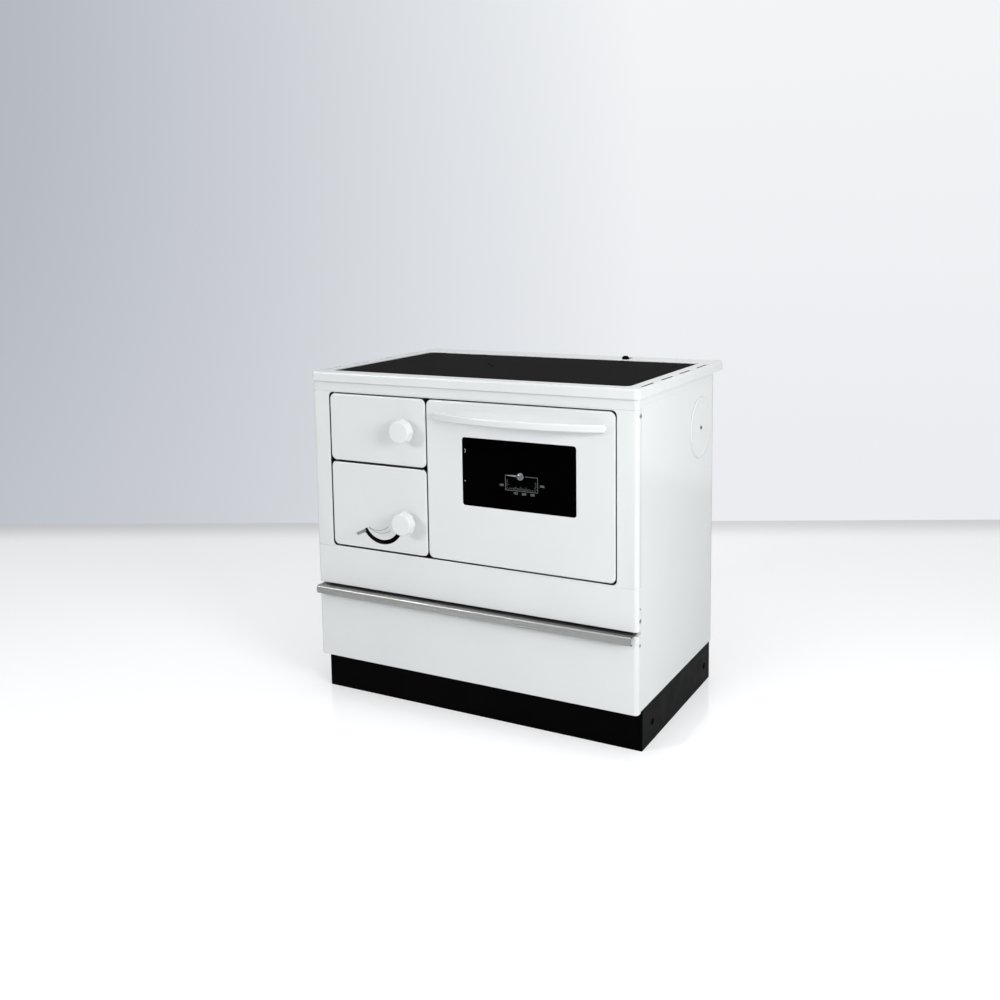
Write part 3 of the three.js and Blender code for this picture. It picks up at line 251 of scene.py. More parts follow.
hobSteelLook = {"colour": "#0d0d0d", "tint": "#121111", "grain": 0.5, "grainLength": 60, "rough": (0.82, 0.96)}


def groundBlackSteel(name, look):
    # steel plate, ground and then blackened by heat: dull, with a faint grain and cloudy heat marks
    material, tree, shader, place = newMaterial(name)
    clouds = addNode(tree, "TexNoise", {"Vector": place, "Scale": 1000 / 140, "Detail": 5.0, "Roughness": 0.6})
    colour = addNode(tree, "Mix", {"Factor": clouds, "A": look["colour"], "B": look["tint"]}, data_type="RGBA")
    across = 1000 / look["grain"] / 4  # drawn 4 times too coarse, to show
    stretched = addNode(tree, "Mapping", {"Vector": place, "Scale": (1000 / look["grainLength"], across, across)})
    grain = addNode(tree, "TexNoise", {"Vector": stretched, "Scale": 1.0, "Detail": 3.0})
    low, high = look["rough"]
    rough = addNode(tree, "MapRange", {"Value": grain, "To Min": low, "To Max": high})
    bump = addNode(tree, "Bump", {"Height": grain, "Strength": 0.25, "Distance": 0.00005})
    feed(tree, shader, {"Base Color": colour, "Roughness": rough, "Normal": bump,
                        "Specular IOR Level": 0.045})  # the black oxide hides most of the metal's shine
    return material


hobSteel = groundBlackSteel("groundBlackSteel", hobSteelLook)

castIronLook = {"colour": "#2d2d2e", "bloom": "#3a3836", "grit": 1.1, "gritDepth": 0.18, "rough": 0.72}
fireclayLook = {"colour": "#cdb48c", "bloom": "#b89a72", "grit": 2.4, "gritDepth": 0.5, "rough": 0.9}
ropeLook = {"colour": "#45443f", "bloom": "#2f2e2b", "grit": 0.9, "gritDepth": 0.3, "rough": 0.9}
rubberLook = {"colour": "#010101", "bloom": "#030303", "grit": 0.7, "gritDepth": 0.01, "rough": 0.9, "gloss": 0.02}


def castOrFired(name, look):
    # sand-cast iron, pressed fireclay and moulded rubber keep the grain of their mould: dull, gritty, uneven in tone
    material, tree, shader, place = newMaterial(name)
    patches = addNode(tree, "TexNoise", {"Vector": place, "Scale": 1000 / 55, "Detail": 6.0, "Roughness": 0.65})
    spread = addNode(tree, "MapRange", {"Value": patches, "From Min": 0.35, "From Max": 0.65})
    colour = addNode(tree, "Mix", {"Factor": spread, "A": look["colour"], "B": look["bloom"]}, data_type="RGBA")
    grit = addNode(tree, "TexNoise", {"Vector": place, "Scale": 1000 / look["grit"], "Detail": 4.0,
                                      "Roughness": 0.7})
    bump = addNode(tree, "Bump", {"Height": grit, "Strength": 0.7, "Distance": look["gritDepth"] / 1000})
    uneven = addNode(tree, "MapRange", {"Value": grit, "To Min": look["rough"] - 0.1, "To Max": look["rough"] + 0.08})
    feed(tree, shader, {"Base Color": colour, "Roughness": uneven, "Normal": bump,
                        "Specular IOR Level": look.get("gloss", 0.5)})
    return material


castIron = castOrFired("sandCastIron", castIronLook)
fireclay = castOrFired("pressedFireclay", fireclayLook)
ropeFibre = castOrFired("braidedGlassFibre", ropeLook)
rubber = castOrFired("mouldedRubber", rubberLook)

stainlessLook = {"colour": "#a9aaa8", "rough": (0.2, 0.36), "line": 0.25, "length": 90}
zincLook = {"colour": "#b3b7b9", "dark": "#a5a9ac", "spangle": 9, "rough": (0.34, 0.46)}
chromeLook = {"colour": "#c4c7c9", "rough": (0.05, 0.12), "line": 3, "length": 3}
nickelLook = {"colour": "#7b7d7f", "rough": (0.04, 0.1), "line": 3, "length": 3}
blackOxideLook = {"colour": "#3a3b3c", "rough": (0.3, 0.45), "line": 1.5, "length": 1.5}


def brushedMetal(name, look):
    # stainless steel drawn under an abrasive belt: fine parallel lines that stretch its highlights across them
    material, tree, shader, place = newMaterial(name)
    across, along = 1000 / look["line"] / 3, 1000 / look["length"]  # lines drawn 3 times too coarse, to show
    stretched = addNode(tree, "Mapping", {"Vector": place, "Scale": (along, across, across)})
    lines = addNode(tree, "TexNoise", {"Vector": stretched, "Scale": 1.0, "Detail": 3.0})
    low, high = look["rough"]
    rough = addNode(tree, "MapRange", {"Value": lines, "From Min": 0.3, "From Max": 0.7, "To Min": low,
                                       "To Max": high})
    base = Vector(linear(look["colour"])[:3])
    tone = addNode(tree, "Mix", {"Factor": lines, "A": [*(base * 0.86), 1], "B": [*(base * 1.1), 1]},
                   data_type="RGBA")
    bump = addNode(tree, "Bump", {"Height": lines, "Strength": 0.2, "Distance": 0.00003})
    feed(tree, shader, {"Base Color": tone, "Roughness": rough, "Normal": bump, "Metallic": 1.0})
    return material


def zincPlate(name, look):
    # hot-dip galvanised sheet: crystals of zinc a fingernail wide, each a slightly different grey
    material, tree, shader, place = newMaterial(name)
    cells = addNode(tree, "TexVoronoi", {"Vector": place, "Scale": 1000 / look["spangle"]})
    shade = addNode(tree, "SeparateColor", {"Color": cells.outputs["Color"]})
    colour = addNode(tree, "Mix", {"Factor": shade, "A": look["colour"], "B": look["dark"]}, data_type="RGBA")
    low, high = look["rough"]
    rough = addNode(tree, "MapRange", {"Value": shade.outputs["Green"], "To Min": low, "To Max": high})
    feed(tree, shader, {"Base Color": colour, "Roughness": rough, "Metallic": 0.9})
    return material


stainless = brushedMetal("brushedStainless", stainlessLook)
nickel = brushedMetal("polishedNickel", nickelLook)
chrome = brushedMetal("polishedChrome", chromeLook)
blackOxide = brushedMetal("blackOxideSteel", blackOxideLook)
zinc = zincPlate("galvanisedSheet", zincLook)

resinLook = {"colour": "#eef0f0", "shade": "#e9ebec", "rough": (0.12, 0.2), "flow": 18}
# painted shade: the pane is black and nearly opaque in place of the dark oven seen through it
paneLook = {"colour": "#000000", "opacity": 0.95, "gloss": 0.012}
inkLook = {"dial": "#8e9192", "door": "#8f9293", "weave": 0.8}


def mouldedResin(name, look):
    # thermoset resin, compression moulded and polished: dense, glossy, with faint flow marks
    material, tree, shader, place = newMaterial(name)
    flow = addNode(tree, "TexNoise", {"Vector": place, "Scale": 1000 / look["flow"], "Detail": 2.0,
                                      "Distortion": 0.8})
    colour = addNode(tree, "Mix", {"Factor": flow, "A": look["colour"], "B": look["shade"]}, data_type="RGBA")
    low, high = look["rough"]
    rough = addNode(tree, "MapRange", {"Value": flow, "To Min": low, "To Max": high})
    feed(tree, shader, {"Base Color": colour, "Roughness": rough})
    return material


def paneWithPaintedShade(name, look):
    # ceramic glass, rolled and polished: black and nearly opaque, as painted shade that hides the unlit oven behind
    # it almost wholly
    material, tree, shader, place = newMaterial(name)
    roll = addNode(tree, "TexNoise", {"Vector": place, "Scale": 1000 / 60, "Detail": 1.0})
    rough = addNode(tree, "MapRange", {"Value": roll, "To Min": 0.02, "To Max": 0.05})
    feed(tree, shader, {"Base Color": look["colour"], "Alpha": look["opacity"], "Roughness": rough,
                        "Specular IOR Level": look["gloss"]})
    return material


def screenPrint(name, look, part):
    # ceramic ink, screen printed and fired on: matt, with edges a little uneven in density
    material, tree, shader, place = newMaterial(name)
    weave = addNode(tree, "TexNoise", {"Vector": place, "Scale": 1000 / look["weave"], "Detail": 1.0})
    ink = Vector(linear(look[part])[:3])
    tone = addNode(tree, "Mix", {"Factor": weave, "A": [*(ink * 0.8), 1], "B": [*ink, 1]}, data_type="RGBA")
    feed(tree, shader, {"Base Color": tone, "Roughness": 0.6})
    return material


resin = mouldedResin("whiteMouldedResin", resinLook)
pane = paneWithPaintedShade("ceramicGlassWithPaintedShade", paneLook)
dialInk = screenPrint("whiteCeramicInk", inkLook, "dial")
doorInk = screenPrint("greyCeramicInk", inkLook, "door")


def slideWithPaintedShade(material):
    # painted shade: the slide is drawn near black behind the door's face, where it lies in the shade of the air slot,
    # and only its lever, in front, keeps the steel's colour
    tree = material.node_tree
    shader = tree.nodes["Principled BSDF"]
    place = addNode(tree, "TexCoord", {}).outputs["Object"]
    apart = addNode(tree, "SeparateXYZ", {"Vector": place})
    depth = addNode(tree, "MapRange", {"Value": apart.outputs["Y"], "From Min": frontY - 0.001,
                                       "From Max": frontY + 0.001})
    bright = shader.inputs["Base Color"].links[0].from_socket
    # painted shade, near black behind the door's front face
    slotShade = addNode(tree, "Mix", {"Factor": depth, "A": bright, "B": "#050505"}, data_type="RGBA")
    feed(tree, shader, {"Base Color": slotShade})
    return material


slideSteel = slideWithPaintedShade(brushedMetal("stainlessWithPaintedShade", stainlessLook))

cadFinishes = {
    whiteEnamel: ["side_panel_left", "side_panel_right"],
    blackEnamel: ["plinth_frame"],
    hobSteel: ["firebox_casing", "flue_baffle", "damper_valve"],
    castIron: ["front_plate", "fire_grate", "fire_door_liner", "ash_door_liner"],
    zinc: ["foot_front_left", "foot_front_right", "foot_rear_left", "foot_rear_right", "base_panel", "back_panel",
           "deck_panel", "oven_support", "drawer_slide_left", "drawer_slide_right", "door_hinge_pin",
           "oven_hinge_rod", "ash_pan", "wood_drawer_box", "fire_latch", "ash_latch"],
    stainless: ["thermometer_pointer"],
    slideSteel: ["air_slide"],
    ovenEnamel: ["oven_box", "oven_door_liner"],
    pane: ["oven_door_glass"],
}
for material, names in cadFinishes.items():
    for name in names:
        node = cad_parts[name]
        node.data.materials.clear()
        node.data.materials.append(material)

print("stage: shaping tools")


def roundedOutline(x0, x1, z0, z1, radius, steps=8):
    radius = max(radius, 0.3)
    points = []
    corners = [(x1 - radius, z0 + radius, -90), (x1 - radius, z1 - radius, 0),
               (x0 + radius, z1 - radius, 90), (x0 + radius, z0 + radius, 180)]
    for x, z, start in corners:
        for i in range(steps + 1):
            angle = radians(start + 90 * i / steps)
            points.append((x + radius * cos(angle), z + radius * sin(angle)))
    return points


def insetOutline(sides, inset, radius, steps=8):
    low, high, base, top = sides
    return roundedOutline(low + inset, high - inset, base + inset, top - inset, radius - inset, steps)


# Steps of a rolled edge: how far each lies in from the edge, and how far below the face.
def rolled(radius, steps):
    return [(radius * (1 - sin(pi / 2 * i / steps)), radius * (1 - cos(pi / 2 * i / steps)))
            for i in range(steps + 1)]


def ringAt(shape, outline, y):
    return [shape.verts.new((x, y, z)) for x, z in outline]


def levelRing(shape, outline, z):
    return [shape.verts.new((x, y, z)) for x, y in outline]


def skin(shape, rings, closed=True):
    for low, high in zip(rings, rings[1:]):
        count = len(low)
        for i in range(count if closed else count - 1):
            j = (i + 1) % count
            shape.faces.new((low[i], low[j], high[j], high[i]))


def fillFlat(shape, loops, facing):
    edges = []
    for loop in loops:
        for a, b in zip(loop, loop[1:] + loop[:1]):
            edges.append(shape.edges.get((a, b)) or shape.edges.new((a, b)))
    bmesh.ops.triangle_fill(shape, edges=edges, use_beauty=True, normal=facing)


# Turned about an axis: the profile holds (radius, distance along) pairs, and 0 as a radius closes it.
def turn(shape, profile, place, axis="y", steps=64, swell=None):
    centre = Vector(place)
    rings = []
    for radius, along in profile:
        ring = []
        for i in range(1 if radius == 0 else steps):
            angle = 2 * pi * i / steps
            reach = radius if swell is None or radius == 0 else swell(radius, along, angle)
            u, v = reach * cos(angle), reach * sin(angle)
            spot = {"x": (along, u, v), "y": (u, along, v), "z": (u, v, along)}[axis]
            ring.append(shape.verts.new(centre + Vector(spot)))
        rings.append(ring)
    for low, high in zip(rings, rings[1:]):
        if len(low) == 1 or len(high) == 1:
            tip, rim = (low[0], high) if len(low) == 1 else (high[0], low)
            for i in range(steps):
                shape.faces.new((tip, rim[i], rim[(i + 1) % steps]))
        else:
            skin(shape, [low, high])


# A turned piece stands in the middle of its node, on the node's low side along the axis unless base says otherwise.
def makeTurned(name, look):
    sides = sizeOf(look["node"])
    place = [(sides[i] + sides[i + 1]) / 2 for i in (0, 2, 4)]
    along = "xyz".index(look["axis"])
    place[along] = look.get("base", sides[2 * along])
    shape = bmesh.new()
    turn(shape, look["profile"], place, look["axis"], look["steps"], look.get("swell"))
    setPiece(name, shape, look["body"], look["material"], [look["node"]], smooth=look["smooth"])


def box(shape, x0, x1, y0, y1, z0, z1):
    made = bmesh.ops.create_cube(shape, size=1)["verts"]
    for v in made:
        v.co = ((x0 + x1) / 2 + v.co.x * (x1 - x0), (y0 + y1) / 2 + v.co.y * (y1 - y0),
                (z0 + z1) / 2 + v.co.z * (z1 - z0))


# Round rod through points, with domed ends.
def rod(shape, points, radius, steps=12):
    path = [Vector(p) for p in points]
    rings = []
    for i, spot in enumerate(path):
        ahead = (path[min(i + 1, len(path) - 1)] - path[max(i - 1, 0)]).normalized()
        side = ahead.cross(Vector((0, 0, 1)) if abs(ahead.z) < 0.9 else Vector((1, 0, 0))).normalized()
        over = side.cross(ahead)
        spans = [(1.0, 0.0)]
        if i == 0:
            spans = [(0.35, -0.94), (0.75, -0.66), (1.0, 0.0)]
        if i == len(path) - 1:
            spans = [(1.0, 0.0), (0.75, 0.66), (0.35, 0.94)]
        for wide, on in spans:
            ring = []
            for k in range(steps):
                angle = 2 * pi * k / steps
                out = side * cos(angle) + over * sin(angle)
                ring.append(shape.verts.new(spot + ahead * on * radius * 0.6 + out * radius * wide))
            rings.append(ring)
    skin(shape, rings)
    shape.faces.new(rings[0])
    shape.faces.new(rings[-1])


# inner is the finish of a sheet's back, of its cut edges and, as painted shade, of the faces in gaps, grooves and
# hollows that the face test picks out.
def setPiece(name, shape, body, material, stands=(), sheet=0.0, edge=0.0, smooth=35, inner=None,
             inPaintedShade=None):
    bmesh.ops.remove_doubles(shape, verts=shape.verts, dist=0.0001)
    bmesh.ops.recalc_face_normals(shape, faces=shape.faces)
    # painted shade: the picked faces take the second, dark finish
    for face in shape.faces if inPaintedShade else []:
        face.material_index = 1 if inPaintedShade(face.calc_center_median()) else 0
    shape.transform(toFrame)
    mesh = bpy.data.meshes.new(name)
    shape.to_mesh(mesh)
    shape.free()
    mesh.materials.append(material)
    if inner:
        mesh.materials.append(inner)
    mesh.shade_smooth()
    mesh.set_sharp_from_angle(angle=radians(smooth))
    piece = bpy.data.objects.new(name, mesh)
    scene.collection.objects.link(piece)
    if sheet:
        fold = piece.modifiers.new("sheet", "SOLIDIFY")
        fold.thickness = sheet / 1000
        fold.offset = -1
        fold.use_even_offset = True
        fold.material_offset = fold.material_offset_rim = 1 if inner else 0
    if edge:
        soft = piece.modifiers.new("edge", "BEVEL")
        soft.width = edge / 1000
        soft.segments = 2
        soft.limit_method = "ANGLE"
        soft.angle_limit = radians(50)
        soft.harden_normals = False
    even = piece.modifiers.new("even", "WEIGHTED_NORMAL")
    even.keep_sharp = True
    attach(piece, body)
    if stands:
        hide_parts(*stands)
    return piece


print("stage: pressed panels")

panelLook = {"corner": 10, "sheet": 2, "returns": 20, "edge": 0.9, "cornerSteps": 8, "sideBand": 15.8}


# Plan of a panel that wraps the front, from the left rear corner round to the right one.
def wrapPlan(half, radius, back, steps):
    plan = [(-half, back)]
    for side, start in ((-1, 180), (1, 270)):
        for i in range(steps + 1):
            angle = radians(start + 90 * i / steps)
            plan.append((side * (half - radius) + radius * cos(angle), radius + radius * sin(angle)))
    return plan + [(half, back)]


def wrappedPan(name, node, body, look):
    x0, x1, y0, y1, z0, z1 = sizeOf(node)
    shape = bmesh.new()
    plan = wrapPlan(x1, look["corner"], y1, look["cornerSteps"])
    rows = [levelRing(shape, plan, z) for z in (z0, z1)]
    skin(shape, rows, closed=False)
    for row in rows:
        shape.faces.new(row)  # folded top and bottom
    return setPiece(name, shape, body, whiteEnamel, [node], sheet=look["sheet"], edge=look["edge"])


wrappedPan("lowerPanel", "lower_panel", "cabinet", panelLook)
wrappedPan("drawerFront", "wood_drawer_front", "wood_drawer", panelLook)

frameLook = {"opening": (-395, 395, 398, 799), "radius": 12, "slope": 1.6, "lip": 18}


def makeFrontFrame(look):
    x0, x1, y0, y1, z0, z1 = sizeOf("front_frame")
    shape = bmesh.new()
    plan = wrapPlan(x1, panelLook["corner"], panelLook["returns"], panelLook["cornerSteps"])
    middle = len(plan) // 2
    for part in (plan[:middle], plan[middle:]):
        skin(shape, [levelRing(shape, part, z) for z in (z0, z1)], closed=False)
    faceHalf = x1 - panelLook["corner"]
    face = ringAt(shape, [(-faceHalf, z0), (faceHalf, z0), (faceHalf, z1), (-faceHalf, z1)], 0)
    left, right, low, high = look["opening"]
    steps = rolled(look["slope"], 3) + [(0, look["lip"])]
    rims = [ringAt(shape, insetOutline(look["opening"], -grow, look["radius"]), y) for grow, y in steps]
    skin(shape, rims)
    fillFlat(shape, [face, rims[0]], (0, -1, 0))
    # painted shade: the lip round the opening takes the dark ground coat, though the real lip is white enamel
    setPiece("frontFrame", shape, "cabinet", whiteEnamel, ["front_frame"], sheet=panelLook["sheet"],
             inner=backCoatAndPaintedShade, inPaintedShade=lambda p: p.y > 2 and abs(p.x) < right + 1 and low - 1 < p.z < high + 1)


makeFrontFrame(frameLook)


def makeTopBand(look):
    x0, x1, y0, y1, z0, z1 = sizeOf("top_band")
    sideLow = z1 - look["sideBand"]
    shape = bmesh.new()
    plan = wrapPlan(x1, look["corner"], look["returns"], look["cornerSteps"])
    front = [levelRing(shape, plan, z) for z in (z0, sideLow, z1)]
    skin(shape, front, closed=False)
    for end in (0, -1):
        tall = [front[1][end], front[2][end]]
        rear = [shape.verts.new((tall[0].co.x, y1, z)) for z in (sideLow, z1)]
        shape.faces.new((tall[0], rear[0], rear[1], tall[1]))
    setPiece("topBand", shape, "cabinet", whiteEnamel, ["top_band"], sheet=look["sheet"])


makeTopBand(panelLook)

print("stage: hob")

hobLook = {"edge": 5, "corner": 14, "skin": 3, "sheet": 2.4, "rim": 1.2, "ledge": 12, "ledgeDrop": 0.3, "gap": 3}
slotLook = {"inset": 12.5, "wide": 7, "long": 84, "first": 37, "last": 502, "count": 4}
damperSlot = {"x": 198, "wide": 11, "front": 534, "rear": 591}


def makeHobFrame(look):
    x0, x1, y0, y1, z0, z1 = sizeOf("hob_frame")
    px0, px1, py0, py1, pz0, pz1 = sizeOf("hob_plate")
    shape = bmesh.new()
    steps = [(inset, z1 - down) for inset, down in rolled(look["edge"], 6)] + [(0, z0)]
    outer = [levelRing(shape, insetOutline((x0, x1, y0, y1), inset, look["corner"]), z) for inset, z in steps]
    skin(shape, outer)
    ledgeTop = pz0 - look["ledgeDrop"]

    def hole(outlineOf, depth):
        rings = [levelRing(shape, outlineOf(grow), z1 - down) for grow, down in rolled(look["rim"], 3)]
        rings.append(levelRing(shape, outlineOf(0), depth))
        skin(shape, rings)
        return rings

    def recess(grow):
        return insetOutline((px0, px1, py0, py1), -look["gap"] - grow, look["corner"] - look["gap"])

    def slot(x, wide, front, rear):
        sides = (x - wide / 2, x + wide / 2, front, rear)
        return hole(lambda grow: insetOutline(sides, -grow, wide / 2 - 0.1, 4), z1 - look["skin"])[0]

    well = hole(recess, ledgeTop)
    skin(shape, [well[-1], levelRing(shape, recess(-look["ledge"]), ledgeTop)])
    holes = [well[0]]
    long = slotLook["long"]
    pitch = (slotLook["last"] - slotLook["first"] - long) / (slotLook["count"] - 1)
    for side in (-1, 1):
        for i in range(slotLook["count"]):
            start = slotLook["first"] + i * pitch
            holes.append(slot(side * (x1 - slotLook["inset"]), slotLook["wide"], start, start + long))
    holes.append(slot(**damperSlot))
    fillFlat(shape, [outer[0], *holes], (0, 0, 1))
    # painted shade: the walls of the side slots and the damper slot take the dark ground coat
    setPiece("hobFrame", shape, "cabinet", whiteEnamel, ["hob_frame"], sheet=look["sheet"],
             inner=backCoatAndPaintedShade, inPaintedShade=lambda p: z1 - 3.4 < p.z < z1 - 1.1 and y0 + 10 < p.y < y1 - 10
             and abs(p.x) < x1 - 8 and (abs(p.x) > px1 + 8 or p.y > py1 + 7))


makeHobFrame(hobLook)

plateLook = {"edge": 1.0, "corner": 12, "slit": 3.2}
plateSlits = [((-114, 334), (-58, 264)), ((370, 428), (366, 471))]  # from one end to the other


def makeHobPlate(look):
    x0, x1, y0, y1, z0, z1 = sizeOf("hob_plate")
    shape = bmesh.new()

    def slit(a, b, grow):
        start, end = Vector(a), Vector(b)
        along = (end - start).normalized()
        side = Vector((-along.y, along.x))
        half = look["slit"] / 2 + grow
        points = []
        for centre, first in ((end, -90), (start, 90)):
            for i in range(7):
                angle = radians(first + 30 * i)
                points.append(centre + along * half * cos(angle) + side * half * sin(angle))
        return points

    sides = [(look["edge"], z0), (0, z0 + look["edge"]), (0, z1 - look["edge"]), (0.3, z1 - 0.3), (look["edge"], z1)]
    rings = [levelRing(shape, insetOutline((x0, x1, y0, y1), inset, look["corner"]), z) for inset, z in sides]
    skin(shape, rings)
    openings = []
    for a, b in plateSlits:
        walls = [levelRing(shape, slit(a, b, grow), z) for grow, z in ((0, z0), (0, z1 - 0.5), (0.5, z1))]
        skin(shape, walls)
        openings.append(walls)
    fillFlat(shape, [rings[-1], *[w[-1] for w in openings]], (0, 0, 1))
    fillFlat(shape, [rings[0], *[w[0] for w in openings]], (0, 0, -1))
    setPiece("hobPlate", shape, "cabinet", hobSteel, ["hob_plate"])


makeHobPlate(plateLook)

print("stage: doors")

doorLook = {"edge": 4, "edgeSteps": 6, "corner": 15, "sheet": 2, "lip": 1.2}
airLook = {"x": -241.3, "z": 482.8, "radius": 59.4, "wide": 11, "half": 60}
windowLook = {"radius": 7, "lap": 9}  # the pane reaches its lap behind the panel
lugLook = {"inset": 22, "half": 4.5}


def airOutline(grow):
    inner = airLook["radius"] - airLook["wide"] / 2 - grow
    outer = airLook["radius"] + airLook["wide"] / 2 + grow
    half = airLook["half"] + degrees(grow / airLook["radius"])
    points = []
    for radius, sense in ((outer, 1), (inner, -1)):
        for i in range(25):
            angle = radians(-90 + sense * (half * 2 * i / 24 - half))
            points.append((airLook["x"] + radius * cos(angle), airLook["z"] + radius * sin(angle)))
    return points


def pressedDoor(name, node, body, openings, look, notches=()):
    x0, x1, y0, y1, z0, z1 = sizeOf(node)
    shape = bmesh.new()

    def outline(inset):  # with points at the notches' sides, along the bottom edge
        return insetOutline((x0, x1, z0, z1), inset, look["corner"]) + [(x, z0 + inset) for x in sorted(notches)]

    def notched(p):
        return p.z < z0 + 1.2 and p.y > 1.4 and any(a < p.x < b for a, b in zip(notches[::2], notches[1::2]))

    rings = [ringAt(shape, outline(0), y1)]
    rings += [ringAt(shape, outline(inset), y) for y, inset in rolled(look["edge"], look["edgeSteps"])]
    skin(shape, rings)
    holes = []
    for opening in openings:
        walls = [ringAt(shape, opening(grow), y) for grow, y in rolled(look["lip"], 3)]
        skin(shape, walls)
        holes.append(walls[0])
    fillFlat(shape, [rings[-1], *holes], (0, -1, 0))
    cut = [face for face in shape.faces if notched(face.calc_center_median())]
    bmesh.ops.delete(shape, geom=cut, context="FACES")
    # painted shade: the door's skirt, and on the ash door the air slot's walls, take the dark ground coat
    setPiece(name, shape, body, whiteEnamel, [node], sheet=look["sheet"], inner=backCoatAndPaintedShade,
             inPaintedShade=lambda p: p.y > look["edge"] - 0.6 or (p.y > 0.5 and x0 + 9 < p.x < x1 - 9 and "ash" in name))


def makeDoors():
    pressedDoor("fireDoor", "fire_door_panel", "fire_door", [], doorLook)
    pressedDoor("ashDoor", "ash_door_panel", "ash_door", [airOutline], doorLook)
    x0, x1 = sizeOf("oven_door_panel")[:2]
    left, right, _, _, low, high = sizeOf("oven_door_glass")
    lap, corner = windowLook["lap"], windowLook["radius"] + windowLook["lap"]

    def window(grow):
        return insetOutline((left, right, low, high), lap - grow, corner)

    places = (x0 + lugLook["inset"], x1 - lugLook["inset"])
    notches = [x + reach for x in places for reach in (-lugLook["half"], lugLook["half"])]
    pressedDoor("ovenDoor", "oven_door_panel", "oven_door", [window], doorLook, notches)


makeDoors()

knobLobes = {"count": 8, "groove": 1.8, "start": 9, "end": 25}


def lobed(radius, along, angle):
    if not knobLobes["start"] <= along <= knobLobes["end"]:
        return radius
    depth = knobLobes["groove"] * min((along - knobLobes["start"]) / 10, 1)
    return radius - depth * (1 - cos(knobLobes["count"] * angle)) / 2


knobLook = {
    "axis": "y", "material": resin, "slot": "white_resin", "steps": 128, "smooth": 60, "swell": lobed,
    "profile": [(0, 0), (12, 0), (24.4, 0), (25.6, 0.25), (26.5, 0.9), (27, 2), (27.2, 5), (27.5, 9), (28, 12.5),
                (28.8, 15.5), (29.6, 18), (30, 20.5), (29.8, 22.6), (28.6, 24.2), (26, 25), (21, 26), (16, 27.6),
                (13, 29.5), (12, 32), (12, 36.6), (0, 36.6)],
}
makeTurned("fireDoorKnob", {**knobLook, "node": "fire_door_knob", "body": "fire_latch_set"})
makeTurned("ashDoorKnob", {**knobLook, "node": "ash_door_knob", "body": "ash_latch_set"})

handleLook = {"high": 18.5, "deep": 11.5, "bow": 34, "steps": 40, "round": 4.6, "endY": -8, "thin": 0.78,
              "taper": 70, "foot": 18, "footInset": 1.2}  # it thins over the taper, towards its ends


def makeHandle(look):
    x0, x1, y0, y1, z0, z1 = sizeOf("oven_handle")
    half, middle, level = (x1 - x0) / 2 - 0.8, (x0 + x1) / 2, (z0 + z1) / 2
    radius = (half ** 2 + look["bow"] ** 2) / (2 * look["bow"])
    centreY = look["endY"] - look["bow"] + radius
    sweep = asin(half / radius)
    shape = bmesh.new()
    rings = []
    for i in range(look["steps"] + 1):
        share = i / look["steps"]
        angle = -sweep + 2 * sweep * share
        ahead = Vector((cos(angle), sin(angle), 0))
        out = Vector((sin(angle), -cos(angle), 0))
        centre = Vector((middle, centreY, level)) + out * radius
        toEnd = min(share, 1 - share) * 2 * half
        thin = look["thin"] + (1 - look["thin"]) * min(toEnd / look["taper"], 1)
        ends = [(1, 0)]
        if i == 0:
            ends = [(0.8, 0.0), (0.95, 0.5), (1, 1.6)]
        if i == look["steps"]:
            ends = [(1, -1.6), (0.95, -0.5), (0.8, 0.0)]
        for scale, shift in ends:
            section = roundedOutline(-look["deep"] / 2 * thin, look["deep"] / 2 * thin, -look["high"] / 2,
                                     look["high"] / 2, look["round"] * thin, 5)
            rings.append([shape.verts.new(centre + ahead * shift + out * u * scale + Vector((0, 0, v * scale)))
                          for u, v in section])
    skin(shape, rings)
    shape.faces.new(rings[0])
    shape.faces.new(rings[-1])
    for foot in (x0 + look["footInset"], x1 - look["footInset"] - look["foot"]):
        profile = roundedOutline(foot, foot + look["foot"], level - 7, level + 7, 3, 5)
        post = [ringAt(shape, profile, y) for y in (look["endY"], -0.3)]
        skin(shape, post)
        shape.faces.new(post[1])
        shape.faces.new(post[0])
    setPiece("ovenHandle", shape, "oven_door", whiteEnamel, ["oven_handle"], smooth=50)


makeHandle(handleLook)

print("stage: thermometer and prints")

dialLook = {"line": 0.65, "tick": 0.42, "thick": 0.12, "frame": (112, 197, 592.5, 628), "gap": (142, 164),
            "centre": (153, 628), "ticks": 27, "from": 198, "sweep": 144, "figure": 5.6}  # degrees
dialFigures = {"100": (101.6, 603), "150": (139, 586), "200": (161, 586), "250": (183, 586), "300": (208.4, 608.6)}


def printLine(shape, a, b, wide, y, thick):
    start, end = Vector(a), Vector(b)
    along = (end - start).normalized() * wide / 2
    side = Vector((-along.y, along.x))
    corners = [start - along - side, end + along - side, end + along + side, start - along + side]
    rings = [ringAt(shape, [(p.x, p.y) for p in corners], depth) for depth in (y, y - thick)]
    skin(shape, rings)
    shape.faces.new(rings[0])
    shape.faces.new(rings[1])


def addFigures(shape, text, x, z, size, y):
    curve = bpy.data.curves.new("figure", "FONT")
    curve.body = text
    curve.size = size * 1.4
    curve.align_x = "CENTER"
    curve.align_y = "CENTER"
    curve.extrude = 0.05
    curve.resolution_u = 3
    holder = bpy.data.objects.new("figure", curve)
    scene.collection.objects.link(holder)
    bpy.context.view_layer.update()
    flat = bpy.data.meshes.new_from_object(holder.evaluated_get(bpy.context.evaluated_depsgraph_get()))
    flat.transform(Matrix.Translation((x, y, z)) @ Matrix.Rotation(pi / 2, 4, "X"))
    shape.from_mesh(flat)
    bpy.data.objects.remove(holder)
    bpy.data.meshes.remove(flat)
    bpy.data.curves.remove(curve)


